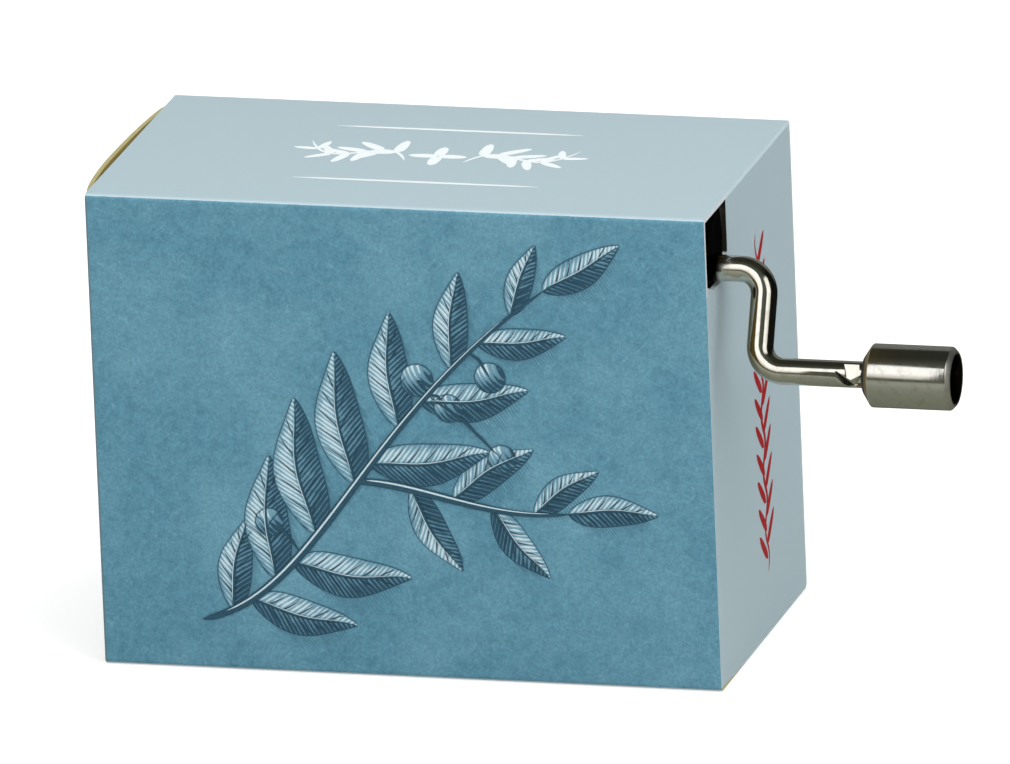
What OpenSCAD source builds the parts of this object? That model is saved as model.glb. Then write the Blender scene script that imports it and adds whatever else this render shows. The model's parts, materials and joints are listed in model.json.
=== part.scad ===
// Hand-cranked music box: a folded carton that holds an eighteen-note comb movement.
// The origin is the middle of the carton's underside. X runs to the crank end, Y to the back, Z up.

/* [Carton] */
// Length of the carton, from its left end to its crank end
carton_l = 55; // [54:0.5:62]
// Depth of the carton, from front to back
carton_d = 29.5; // [26:0.5:36]
// Height of the carton
carton_h = 42.5; // [42:0.5:50]
// Thickness of the folded board
card_t = 0.4; // [0.3:0.05:0.5]
// Outside radius of the sleeve's long folds
fold_r = 0.5; // [0.3:0.05:0.8]
// Slack between a loose flap and the board beside it
card_gap = 0.1; // [0.08:0.02:0.2]
// Slack round the fixed crank-end flap
seat_gap = 0.02; // [0.01:0.01:0.05]
// Width of the glued lap inside the back panel
lap_w = 9; // [6:0.5:12]

/* [Carton flaps] */
// Length of the tuck tabs
tuck_l = 7; // [5:0.25:7]
// Corner radius of the tuck tabs
tuck_r = 4; // [2:0.5:4.5]
// Outside radius of the left flap's tuck fold
tuck_fold_r = 1; // [0.7:0.05:1.1]
// Distance that the left flap's upper edge bulges out
bulge = 1.35; // [0.4:0.05:2]
// Share of the bulge that is left at the flap's lower edge
bulge_low = 0.2; // [0:0.05:0.5]
// Length of the dust flaps
dust_l = 11; // [8:0.5:14]
// Taper of the dust flaps' edges, in degrees
dust_taper = 18; // [14:1:24]
// Distance from a dust flap's root to the front and back panels
dust_inset = 1.6; // [1.4:0.1:3]

/* [Crank opening] */
// Room between the crank rod and the opening's back edge
notch_beside = 2.2; // [1.4:0.05:3]
// Room between the crank rod and the opening's lower edge
notch_below = 0.35; // [0.25:0.05:2]
// Radius at the opening's lower back corner
notch_r = 2.5; // [1:0.25:3]
// Length of the slope at the opening's lower front corner
notch_run = 2.2; // [1:0.1:2.4]
// Height of that slope at the front panel
notch_rise = 1; // [0.5:0.1:1.4]

/* [Crank] */
// Diameter of the crank rod
rod_d = 2.3; // [2:0.05:2.4]
// Distance from the carton's front face to the crank's axis
crank_front = 4; // [3.8:0.05:4.4]
// Distance from the carton's top face to the crank's axis
crank_top = 5.5; // [5.2:0.05:5.6]
// Throw of the crank, from its axis to the handle's axis
crank_throw = 8.7; // [7:0.1:12]
// Centre-line radius of the crank's two bends
bend_r = 2.2; // [1.8:0.1:3]
// Distance from the carton's crank end to the middle of the crank arm
arm_out = 4.3; // [3.6:0.1:6]
// Angle at which the crank rests, forward of straight down, in degrees
crank_rest = 26; // [0:1:90]

/* [Knob] */
// Diameter of the turned knob
knob_d = 5.5; // [5:0.1:6.4]
// Length of the knob
knob_l = 8; // [7:0.1:12]
// Distance from the carton's crank end to the knob
knob_out = 13.8; // [12:0.1:18]
// Diameter of the knob's inner end, inside its bevel
knob_neck_d = 3.4; // [3:0.1:4]
// Length of the bevel on the knob's inner end
knob_bevel = 0.7; // [0.4:0.05:1]
// Chamfer on the knob's outer rim
knob_rim = 0.4; // [0.2:0.05:0.5]
// Diameter of the cup in the knob's outer end
knob_cup_d = 4.3; // [4:0.05:4.4]
// Depth of the cup
knob_cup = 1.8; // [1.4:0.1:3]
// Diameter of the riveted rod end inside the cup
rivet_d = 3.4; // [3:0.1:3.6]
// Height of the riveted rod end
rivet_h = 0.7; // [0.5:0.05:1]
// Length of the staked ears that hold the knob out
stake_l = 1.2; // [0.8:0.1:1.6]
// Height of each staked ear above the rod
stake_h = 0.35; // [0.2:0.05:0.5]
// Width of each staked ear
stake_w = 1; // [0.6:0.1:1.4]

/* [Base plate] */
// Distance from the die-cast base plate to the left flap's tucked tab
base_gap = 0.5; // [0.4:0.05:1]
// Distance from the base plate to the carton's bottom panel
base_clear = 2.2; // [1.8:0.1:3]
// Distance from the base plate to the carton's crank end
base_in = 2.5; // [1.5:0.25:3]
// Thickness of the base plate
base_t = 1.6; // [1.2:0.1:2]
// Corner radius of the base plate
base_r = 2.5; // [1:0.25:4]
// Distance from the crank's axis to the base plate's upper edge
base_rim = 2.6; // [2.4:0.1:2.8]
// Diameter of the base plate's unused fixing holes
fixing_d = 2.6; // [2:0.1:3]
// Distance from the fixing holes to the base plate's edges
fixing_inset = 3.4; // [2.5:0.1:4]
// Thickness of the double-sided tape behind the front panel
tape_t = 0.3; // [0.2:0.05:0.4]
// Width of each strip of tape
tape_w = 8; // [5:0.5:10]
// Distance from the tape's ends to the base plate's ends
tape_inset = 4; // [2:0.5:8]

/* [Bearings] */
// Radial clearance of the running bearings
run_gap = 0.05; // [0.03:0.01:0.08]
// End clearance between turning and fixed faces
end_gap = 0.3; // [0.2:0.05:0.35]
// Half width of the crank's bearing lugs
crank_lug_r = 2.5; // [2.2:0.1:2.6]
// Length of the outer crank bearing
outer_lug_l = 4; // [3:0.25:5]
// Length of the inner crank bearing
inner_lug_l = 3; // [2:0.25:3.5]
// Thickness of the cylinder's cast bearing lug
arbor_lug_t = 1.8; // [1.4:0.1:2.2]
// Half width of the cylinder's bearing lug and bracket
arbor_lug_r = 3.2; // [2.6:0.1:3.4]
// Thickness of the steel bearing bracket
bracket_t = 1.2; // [0.8:0.1:1.4]
// Length of the bracket's foot, across the base plate
bracket_foot_l = 14; // [13.5:0.5:16]
// Reach of the bracket's foot, towards the base plate's edge
bracket_foot_w = 3.6; // [3.4:0.1:3.8]

/* [Worm drive] */
// Teeth of the worm wheel
wheel_teeth = 20; // [18:1:22]
// Module of the worm wheel
wheel_module = 0.5; // [0.48:0.01:0.52]
// Width of the worm wheel's teeth
wheel_face = 2; // [1.6:0.1:2.2]
// Diameter of the worm wheel's hub
wheel_hub_d = 6; // [5:0.25:7]
// Diameter of the worm's core
worm_core_d = 3.1; // [3:0.05:3.2]
// Length of the worm
worm_l = 8; // [7:0.25:9]
// Height of a tooth above the pitch line, as a share of the module
addendum_share = 0.7; // [0.6:0.05:0.75]
// Clearance at the root of each tooth
root_gap = 0.1; // [0.08:0.01:0.15]
// Backlash along the pitch line
backlash = 0.4; // [0.36:0.02:0.46]
// Flank angle of the teeth, in degrees
flank_angle = 18; // [16:1:20]

/* [Cylinder] */
// Distance from the base plate's crank end to the cylinder's axis
cylinder_in = 12.5; // [12:0.25:12.75]
// Diameter of the pinned drum
drum_d = 12.6; // [12:0.1:12.8]
// Wall of the pinned drum
drum_wall = 0.6; // [0.4:0.05:0.8]
// Length of the drum beyond the outermost pins' tracks
drum_margin = 1.2; // [0.8:0.1:1.4]
// Thickness of the drum's end caps
cap_t = 1.5; // [1:0.1:2]
// Diameter of the end caps' hubs
cap_hub_d = 4; // [3.4:0.1:5]
// Length of the lower cap's hub, between the drum and the bracket
lower_hub_h = 1.75; // [1:0.05:2.5]
// Diameter of the cylinder's arbor
arbor_d = 2; // [1.6:0.1:2.2]
// Diameter of each pin
pin_d = 0.4; // [0.3:0.05:0.5]
// Height of each pin above the drum
pin_h = 0.7; // [0.5:0.05:0.75]
// Pins set in each track of the drum
track_pins = 5; // [3:1:6]

/* [Comb] */
// Notes of the comb
notes = 18; // [16:1:18]
// Slot between two teeth
tooth_slot = 0.25; // [0.2:0.05:0.35]
// Thickness of the teeth
tooth_t = 0.55; // [0.4:0.05:0.7]
// Thickness of the comb's land
comb_t = 1.2; // [1:0.1:1.6]
// Distance from the base plate's left edge to the comb
comb_inset = 0.8; // [0.4:0.1:2]
// Length of the shortest, treble tooth as a share of the longest
treble_share = 0.66; // [0.56:0.02:0.76]
// Length of the land that is screwed down
land_l = 7.6; // [7:0.1:8]
// Distance between the teeth's tips and the pins' path
pluck_gap = 0.12; // [0.1:0.01:0.2]
// Teeth that carry a lead weight
weighted_teeth = 7; // [4:1:9]
// Thickness of the lead weights
weight_t = 1.2; // [0.8:0.1:1.5]
// Length of the longest lead weight
weight_long = 5; // [3.5:0.1:6]
// Length of the shortest lead weight
weight_short = 1.6; // [1:0.1:3]
// Distance from a tooth's tip to its weight
weight_back = 1; // [0.6:0.1:1.5]

/* [Screws] */
// Shank diameter of the comb screws
comb_screw_d = 2.4; // [2:0.1:2.6]
// Head diameter of the comb screws
comb_head_d = 4.4; // [4:0.1:5]
// Head height of the comb screws
comb_head_h = 1.3; // [1:0.1:1.6]
// Depth of the comb screws in the base's seat
comb_screw_depth = 4; // [3:0.25:5]
// Shank diameter of the bracket screws
bracket_screw_d = 1.6; // [1.4:0.1:1.8]
// Head diameter of the bracket screws
bracket_head_d = 3; // [2.6:0.1:3.2]
// Head height of the bracket screws
bracket_head_h = 1; // [0.8:0.1:1.2]
// Width of the screwdriver slots
slot_w = 0.6; // [0.4:0.05:0.8]
// Clearance round a screw's shank
screw_gap = 0.05; // [0.03:0.01:0.1]

/* [Retaining clip] */
// Outside diameter of the crank's retaining clip
clip_d = 5; // [4.4:0.1:5.2]
// Thickness of the clip
clip_t = 0.5; // [0.4:0.05:0.6]
// Depth of the groove that the clip sits in
groove = 0.3; // [0.2:0.05:0.4]
// Length of rod beyond the clip
rod_tail = 1; // [0.6:0.1:1.5]

/* [Hidden] */
$fn = 48;

// Colours of the materials
pale_blue = "#b7cbd2";
raw_board = "#b8a06a";
zinc = "#9fa3a6";
steel = "#c9c9c4";
spring_steel = "#6d7379";
brass = "#c8a24a";
nylon = "#e6e2d6";
lead = "#5d6066";
tape_white = "#e9e6dd";

// Faces of the carton
left_x = -carton_l / 2;
right_x = carton_l / 2;
front_y = -carton_d / 2;
inner_d = carton_d - 2 * card_t;
inner_top = carton_h - card_t;
inner_back = carton_d / 2 - card_t;
notch_w = crank_front + rod_d / 2 + notch_beside;
notch_h = crank_top + rod_d / 2 + notch_below;
lap_l = carton_l - 2 * (tuck_l + 2 * card_t + card_gap);

// End flaps, clear of the top and bottom panels
flap_low = card_t + card_gap;
flap_high = inner_top - card_gap;
flap_h = flap_high - flap_low;
seat_h = inner_top - card_t - 2 * seat_gap;

// Left flap: a crease at the back, and a tab that stays inside the crease's own circle as it opens
tuck_y = front_y + card_t + card_gap;
swing_r = inner_back - tuck_y;
tuck_slope = asin((tuck_l / 2 + 1.2 * tuck_fold_r) / swing_r) + 0.5;
tuck_reach = tuck_fold_r * (1 + sin(tuck_slope)) + tuck_l * cos(tuck_slope);
panel_w = inner_back - card_gap - tuck_y - tuck_fold_r;

// Dust flaps, just inside the end flaps
dust_out = carton_l / 2 - card_t - card_gap;
dust_run = dust_l * tan(dust_taper);

// Movement heights above the front panel, and the crank's axis
crank_y = front_y + crank_front;
crank_z = carton_h - crank_top;
base_y = front_y + card_t + tape_t;
base_top_y = base_y + base_t;
base_high = crank_z + base_rim;
base_low = card_t + base_clear;
base_w = base_high - base_low;
base_right = right_x - base_in;
base_left = left_x + tuck_reach + base_gap;
base_l = base_right - base_left;
tape_l = base_l - 2 * tape_inset;

// Worm drive
pitch_arc = PI * wheel_module;
addendum = addendum_share * wheel_module;
wheel_pitch_r = wheel_teeth * wheel_module / 2;
worm_pitch_r = worm_core_d / 2 + root_gap + addendum;
worm_tip_r = worm_pitch_r + addendum;
wheel_tip_r = wheel_pitch_r + addendum;
wheel_root_r = wheel_pitch_r - addendum - root_gap;
tooth_arc = (pitch_arc - backlash) / 2;
worm_relief = worm_tip_r + end_gap;

// Cylinder: its axis, and what sits along it from the bracket up to the wheel
cyl_x = base_right - cylinder_in;
cyl_y = crank_y + worm_pitch_r + wheel_pitch_r;
wheel_low = crank_z - wheel_face / 2;
arbor_lug_high = crank_z - worm_relief - end_gap;
arbor_lug_low = arbor_lug_high - arbor_lug_t;
upper_hub_h = end_gap;
drum_high = arbor_lug_low - end_gap - upper_hub_h;
bracket_high = base_low + bracket_foot_w + end_gap;
bracket_low = bracket_high - bracket_t;
drum_low = bracket_high + end_gap + lower_hub_h;
drum_l = drum_high - drum_low;
comb_w = drum_l - 2 * drum_margin;
comb_low = drum_low + drum_margin;
tooth_pitch = comb_w / notes;
arbor_low = bracket_low - end_gap;
arbor_high = wheel_low + wheel_face + end_gap;
pin_tip_r = drum_d / 2 + pin_h;

// Comb
tip_x = cyl_x - pin_tip_r - pluck_gap;
comb_back = base_left + comb_inset;
land_x = comb_back + land_l;
bass_l = tip_x - land_x;
treble_l = treble_share * bass_l;
seat_y = cyl_y - comb_t / 2;
comb_screw_x = comb_back + land_l / 2;
comb_screw_zs = [comb_low + comb_w / 4, comb_low + comb_w * 3 / 4];
tooth_w = tooth_pitch - tooth_slot;
function tooth_z(i) = comb_low + (i + 0.5) * tooth_pitch;

// Bracket screws stand on both sides of the upright
bracket_screw_dx = arbor_lug_r + bracket_head_d / 2 + card_gap;
bracket_screw_z = base_low + end_gap + bracket_foot_w / 2;

// Crank rod, along its own axis
arm_x = right_x + arm_out;
knob_x = right_x + knob_out;
inner_lug_right = cyl_x - worm_l / 2 - end_gap;
inner_lug_left = inner_lug_right - inner_lug_l;
clip_x = inner_lug_left - end_gap - clip_t;
rod_left = clip_x - rod_tail;
cup_x = knob_x + knob_l - knob_cup;
stake_x = knob_x - end_gap / 2 - stake_l;

// Fixing holes in three corners of the base plate
fixing_left = base_left + fixing_inset;
fixing_right = base_right - fixing_inset;
fixing_low = base_low + fixing_inset;
fixing_high = base_high - fixing_inset;
fixings = [[fixing_left, fixing_low], [fixing_right, fixing_low], [fixing_left, fixing_high]];

// Helpers

// A rectangle with round corners, from its lower left corner
module round_rect(w, h, r) {
    translate([r, 0]) square([w - 2 * r, h]);
    translate([0, r]) square([w, h - 2 * r]);
    for (x = [r, w - r], y = [r, h - r]) translate([x, y]) circle(r);
}

// An outline drawn in Y and Z, extruded along X
module along_x(x, length) {
    translate([x, 0, 0]) rotate([90, 0, 90]) linear_extrude(length) children();
}

// An outline drawn in X and Z, extruded along Y
module along_y(y, length) {
    translate([0, y + length, 0]) rotate([90, 0, 0]) linear_extrude(length) children();
}

// A round bar along X, on the line y = z = 0
module bar_x(x, length, d) {
    translate([x, 0, 0]) rotate([0, 90, 0]) cylinder(h = length, d = d);
}

// A round bar along Y, on the line x = z = 0
module bar_y(y, length, d) {
    translate([0, y, 0]) rotate([-90, 0, 0]) cylinder(h = length, d = d);
}

// A cast lug: a post from the base plate with a round end about a bearing
module lug_outline(r, foot, bore_d) {
    difference() {
        union() {
            translate([-r, foot]) square([2 * r, -foot]);
            circle(r);
        }
        circle(d = bore_d);
    }
}

// A slotted cheese-head screw, head up along Y from the plane y = 0
module screw_y(shank_d, shank_l, head_d, head_h) {
    difference() {
        union() {
            bar_y(-shank_l, shank_l, shank_d);
            bar_y(0, head_h, head_d);
        }
        translate([-head_d, head_h / 2, -slot_w / 2]) cube([2 * head_d, head_h, slot_w]);
    }
}

// A closed sheet: rows of points on its outer face, and the same rows on its inner face
module sheet(outer, inner) {
    rows = len(outer);
    cols = len(outer[0]);
    count = rows * cols;
    points = [for (face = [outer, inner], row = face, point = row) point];
    function at(face, r, c) = face * count + r * cols + c;
    function quad(a, b, c, d) = [[a, b, c], [a, c, d]];
    faces = [
        for (r = [0 : rows - 2], c = [0 : cols - 2]) each
            quad(at(0, r, c), at(0, r + 1, c), at(0, r + 1, c + 1), at(0, r, c + 1)),
        for (r = [0 : rows - 2], c = [0 : cols - 2]) each
            quad(at(1, r, c), at(1, r, c + 1), at(1, r + 1, c + 1), at(1, r + 1, c)),
        for (r = [0 : rows - 2], c = [0, cols - 1]) each
            c == 0 ? quad(at(0, r, c), at(1, r, c), at(1, r + 1, c), at(0, r + 1, c))
                   : quad(at(0, r, c), at(0, r + 1, c), at(1, r + 1, c), at(1, r, c)),
        for (c = [0 : cols - 2], r = [0, rows - 1]) each
            r == 0 ? quad(at(0, r, c), at(0, r, c + 1), at(1, r, c + 1), at(1, r, c))
                   : quad(at(0, r, c), at(1, r, c), at(1, r, c + 1), at(0, r, c + 1))
    ];
    polyhedron(points, faces, convexity = 6);
}

// Carton

// The front, top, back and bottom panels in one tube, closed by a lap glued inside the back
module carton_sleeve() {
    color(pale_blue) {
        difference() {
            along_x(left_x, carton_l)
                translate([front_y, 0]) round_rect(carton_d, carton_h, fold_r);
            along_x(left_x - 1, carton_l + 2)
                translate([front_y + card_t, card_t]) square([inner_d, carton_h - 2 * card_t]);
        }
        translate([-lap_l / 2, -front_y - 2 * card_t, card_t]) cube([lap_l, card_t, lap_w]);
    }
}

// The crank end: creased at the front, tucked in at the back, with the crank's opening in one corner
module right_end_flap() {
    color(pale_blue) {
        along_x(right_x - card_t, card_t) difference() {
            translate([front_y + card_t, card_t + seat_gap]) square([inner_d - seat_gap, seat_h]);
            translate([front_y, carton_h - notch_h]) {
                translate([0, notch_r]) square([notch_w, notch_h]);
                polygon([[0, notch_rise], [notch_run, 0], [notch_w - notch_r, 0], [notch_w - notch_r, notch_h],
                    [0, notch_h]]);
                translate([notch_w - notch_r, notch_r]) circle(notch_r);
            }
        }
        along_y(inner_back - seat_gap - card_t, card_t)
            translate([right_x - card_t - tuck_l, card_t + seat_gap]) intersection() {
                square([tuck_l + card_t, seat_h]);
                round_rect(2 * tuck_l, seat_h, tuck_r);
            }
    }
}

// A dust flap with tapered edges that hangs from the top panel, its root running from front to back
module dust_outline(front, back) {
    translate([0, inner_top])
        polygon([[front, 0], [front + dust_run, -dust_l], [back - dust_run, -dust_l], [back, 0]]);
}

// The same flap, standing on the bottom panel
module dust_outline_bottom() {
    translate([0, carton_h]) mirror([0, 1])
        dust_outline(dust_inset - inner_back, inner_back - dust_inset);
}

module right_dust_flap_top() {
    color(raw_board) along_x(dust_out - card_t, card_t)
        dust_outline(front_y + notch_w + dust_inset / 2, inner_back - dust_inset);
}

module right_dust_flap_bottom() {
    color(raw_board) along_x(dust_out - card_t, card_t) dust_outline_bottom();
}

module left_dust_flap_top() {
    color(raw_board) along_x(-dust_out, card_t)
        dust_outline(dust_inset - inner_back, inner_back - dust_inset);
}

module left_dust_flap_bottom() {
    color(raw_board) along_x(-dust_out, card_t) dust_outline_bottom();
}

// The left flap's course, from its crease across the end, round the fold and along the tab:
// each entry is [x, y, normal angle, height, share of the bulge]
function left_flap_course() = let(panel_rows = 16, fold_rows = 6, tab_rows = 8, tab_a = 270 + tuck_slope) [
    for (i = [0 : panel_rows - 1]) let(s = pow(1 - i / panel_rows, 1.5))
        [left_x, tuck_y + tuck_fold_r + s * panel_w, 180, flap_h, bow(s)],
    for (i = [0 : fold_rows]) let(a = 180 + i / fold_rows * (90 + tuck_slope))
        [left_x + tuck_fold_r * (1 + cos(a)), tuck_y + tuck_fold_r * (1 + sin(a)), a, flap_h, 0],
    for (i = [1 : tab_rows])
        let(s = tuck_l * sin(90 * i / tab_rows), over = max(0, s - tuck_l + tuck_r),
            cut = tuck_r - sqrt(tuck_r * tuck_r - over * over))
        [left_x + tuck_fold_r * (1 + cos(tab_a)) + s * cos(tuck_slope),
            tuck_y + tuck_fold_r * (1 + sin(tab_a)) + s * sin(tuck_slope), tab_a, flap_h - 2 * cut, 0]
];

// The bow between the tuck fold, at 0, and the crease, at 1, fullest nearer the fold
function bow(s) = let(skew = 0.82, roundness = 0.85) pow(sin(180 * pow(s, skew)), roundness);

// One face of the left flap, a given depth below its outer face
function left_flap_face(depth) = let(cols = 8) [
    for (p = left_flap_course()) [
        for (c = [0 : cols])
            let(z = (flap_low + flap_high + (2 * c / cols - 1) * p[3]) / 2, up = (z - flap_low) / flap_h,
                out = bulge * p[4] * (bulge_low + (1 - bulge_low) * up * up))
            [p[0] - depth * cos(p[2]) - out, p[1] - depth * sin(p[2]), z]
    ]
];

module left_end_flap() {
    color(pale_blue) sheet(left_flap_face(0), left_flap_face(card_t));
}

// Movement frame

module tape_strips() {
    color(tape_white) for (z = [base_low + base_w / 4, base_high - base_w / 4])
        translate([(base_left + base_right - tape_l) / 2, front_y + card_t, z - tape_w / 2])
            cube([tape_l, tape_t, tape_w]);
}

module base_plate() {
    color(zinc) difference() {
        union() {
            along_y(base_y, base_t)
                translate([base_left, base_low]) round_rect(base_l, base_w, base_r);
            along_y(base_top_y, seat_y - base_top_y)
                translate([comb_back, comb_low]) round_rect(land_l, comb_w, base_r);
            translate([0, crank_y, crank_z]) {
                for (lug = [[base_right - outer_lug_l, outer_lug_l], [inner_lug_left, inner_lug_l]])
                    translate([lug[0], 0, 0]) rotate([90, 0, 90]) linear_extrude(lug[1])
                        rotate(-90) lug_outline(crank_lug_r, base_top_y - crank_y, rod_d + 2 * run_gap);
            }
            translate([cyl_x, cyl_y, arbor_lug_low]) linear_extrude(arbor_lug_t)
                lug_outline(arbor_lug_r, base_top_y - cyl_y, arbor_d + 2 * run_gap);
        }
        translate([0, crank_y, crank_z])
            bar_x(inner_lug_right, worm_l + 2 * end_gap, 2 * worm_relief);
        for (x = [base_right - outer_lug_l, inner_lug_left - 2 * end_gap - clip_t])
            translate([0, crank_y, crank_z]) bar_x(x, outer_lug_l + 1, rod_d + 2 * run_gap);
        translate([0, crank_y, crank_z])
            bar_x(rod_left - end_gap, inner_lug_left - rod_left + end_gap, clip_d + 2 * end_gap);
        for (p = fixings) translate([p[0], base_y, p[1]]) bar_y(-1, base_t + 2, fixing_d);
        for (z = comb_screw_zs) translate([comb_screw_x, seat_y, z])
            bar_y(-comb_screw_depth, comb_screw_depth + 1, comb_screw_d + 2 * screw_gap);
        for (dx = [-1, 1]) translate([cyl_x + dx * bracket_screw_dx, base_y, bracket_screw_z])
            bar_y(-1, base_t + 2, bracket_screw_d + 2 * screw_gap);
    }
}

// The comb: a slanted land, so that each tooth is a little shorter than the one below it
module comb() {
    color(spring_steel) difference() {
        union() {
            along_y(seat_y, comb_t) polygon([[comb_back, comb_low], [land_x, comb_low],
                [tip_x - treble_l, comb_low + comb_w], [comb_back, comb_low + comb_w]]);
            for (i = [0 : notes - 1])
                translate([comb_back + land_l / 2, cyl_y - tooth_t / 2, tooth_z(i) - tooth_w / 2])
                    cube([tip_x - comb_back - land_l / 2, tooth_t, tooth_w]);
        }
        for (z = comb_screw_zs) translate([comb_screw_x, seat_y, z])
            bar_y(-1, comb_t + 2, comb_screw_d + 2 * screw_gap);
    }
}

module bass_weights() {
    color(lead) for (i = [0 : weighted_teeth - 1]) {
        length = weight_long + (weight_short - weight_long) * i / (weighted_teeth - 1);
        translate([tip_x - weight_back - length, cyl_y - tooth_t / 2 - weight_t, tooth_z(i) - tooth_w / 2])
            cube([length, weight_t, tooth_w]);
    }
}

module comb_screws() {
    color(steel) for (z = comb_screw_zs) translate([comb_screw_x, seat_y + comb_t, z])
        screw_y(comb_screw_d, comb_t + comb_screw_depth - end_gap, comb_head_d, comb_head_h);
}

// The bracket: a bent steel strip, its upright bored for the arbor's lower end
module bearing_bracket() {
    color(steel) difference() {
        union() {
            translate([cyl_x, cyl_y, bracket_low]) linear_extrude(bracket_t)
                lug_outline(arbor_lug_r, base_top_y - cyl_y, arbor_d + 2 * run_gap);
            along_y(base_top_y, bracket_t) translate([cyl_x - bracket_foot_l / 2, base_low + end_gap])
                square([bracket_foot_l, bracket_foot_w]);
        }
        for (dx = [-1, 1]) translate([cyl_x + dx * bracket_screw_dx, base_top_y, bracket_screw_z])
            bar_y(-1, bracket_t + 2, bracket_screw_d + 2 * screw_gap);
    }
}

module bracket_screws() {
    color(steel) for (dx = [-1, 1])
        translate([cyl_x + dx * bracket_screw_dx, base_top_y + bracket_t, bracket_screw_z])
            screw_y(bracket_screw_d, bracket_t + base_t, bracket_head_d, bracket_head_h);
}

// Cylinder

// Angle of a pin: the tracks step round the drum so that no two neighbours play a plain scale
function pin_angle(track, k) = let(beats = 48, track_step = 7, pin_step = 9, shifts = 4)
    360 / beats * ((track_step * track + pin_step * k + k * k * (track % shifts)) % beats);

module cylinder_drum() {
    color(brass) translate([cyl_x, cyl_y, drum_low]) {
        difference() {
            cylinder(h = drum_l, d = drum_d);
            translate([0, 0, -1]) cylinder(h = drum_l + 2, d = drum_d - 2 * drum_wall);
        }
        for (track = [0 : notes - 1], k = [0 : track_pins - 1])
            rotate([0, 90, pin_angle(track, k)])
                translate([-(drum_margin + (track + 0.5) * tooth_pitch), 0, drum_d / 2 - drum_wall / 2])
                    cylinder(h = pin_h + drum_wall / 2, d = pin_d);
    }
}

// An end cap pressed into the drum, with a hub on its outer side that keeps the drum off the bearing
module drum_cap(hub_h) {
    difference() {
        union() {
            cylinder(h = cap_t, d = drum_d - 2 * drum_wall);
            translate([0, 0, -hub_h]) cylinder(h = hub_h + cap_t, d = cap_hub_d);
        }
        translate([0, 0, -hub_h - 1]) cylinder(h = cap_t + hub_h + 2, d = arbor_d);
    }
}

module drum_cap_lower() {
    color(brass) translate([cyl_x, cyl_y, drum_low]) drum_cap(lower_hub_h);
}

module drum_cap_upper() {
    color(brass) translate([cyl_x, cyl_y, drum_high]) mirror([0, 0, 1]) drum_cap(upper_hub_h);
}

module cylinder_arbor() {
    color(steel) translate([cyl_x, cyl_y, arbor_low]) cylinder(h = arbor_high - arbor_low, d = arbor_d);
}

// The worm wheel: straight teeth, with a gap facing the worm
module worm_wheel() {
    flank = tan(flank_angle);
    tip_half = tooth_arc / 2 - addendum * flank;
    root_half = tooth_arc / 2 + (addendum + 2 * root_gap) * flank;
    color(nylon) difference() {
        translate([cyl_x, cyl_y, 0]) {
            translate([0, 0, wheel_low]) linear_extrude(wheel_face) {
                circle(wheel_root_r);
                for (i = [0 : wheel_teeth - 1]) rotate(-90 + (i + 0.5) * 360 / wheel_teeth)
                    polygon([[wheel_root_r - root_gap, -root_half], [wheel_tip_r, -tip_half],
                        [wheel_tip_r, tip_half], [wheel_root_r - root_gap, root_half]]);
            }
            translate([0, 0, arbor_lug_high + end_gap])
                cylinder(h = wheel_low - arbor_lug_high - end_gap, d = wheel_hub_d);
        }
        translate([cyl_x, cyl_y, arbor_lug_high]) cylinder(h = carton_h, d = arbor_d);
    }
}

// Crank

// The bent rod, drawn straight down from its own axis and then swung forward to its place
module crank_rod() {
    color(steel) crank_place() {
        difference() {
            bar_x(rod_left, arm_x - bend_r - rod_left, rod_d);
            difference() {
                bar_x(clip_x, clip_t, rod_d + 1);
                bar_x(clip_x - 1, clip_t + 2, rod_d - 2 * groove);
            }
        }
        translate([arm_x - bend_r, 0, -bend_r]) rod_bend(0);
        translate([arm_x, 0, bend_r - crank_throw]) cylinder(h = crank_throw - 2 * bend_r, d = rod_d);
        translate([arm_x + bend_r, 0, bend_r - crank_throw]) rod_bend(180);
        translate([0, 0, -crank_throw]) {
            bar_x(arm_x + bend_r, cup_x + end_gap / 2 - arm_x - bend_r, rod_d);
            bar_x(cup_x + end_gap / 2, rivet_h, rivet_d);
            intersection() {
                bar_x(stake_x, stake_l, rod_d + 2 * stake_h);
                translate([stake_x, -rod_d, -stake_w / 2]) cube([stake_l, 2 * rod_d, stake_w]);
            }
        }
    }
}

// A quarter bend of the rod, from the given angle in the crank's own plane
module rod_bend(start) {
    rotate([90, 0, 0]) rotate(start) rotate_extrude(angle = 90) translate([bend_r, 0]) circle(d = rod_d);
}

// The crank's own axis, swung to its resting angle
module crank_place() {
    translate([0, crank_y, crank_z]) rotate([-crank_rest, 0, 0]) children();
}

// The worm: a sleeve pressed on the rod, with one left-hand thread
module worm() {
    color(brass) crank_axis() difference() {
        union() {
            bar_x(cyl_x - worm_l / 2, worm_l, worm_core_d);
            worm_thread();
        }
        bar_x(cyl_x - worm_l, 2 * worm_l, rod_d);
    }
}

module crank_axis() {
    translate([0, crank_y, crank_z]) children();
}

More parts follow.
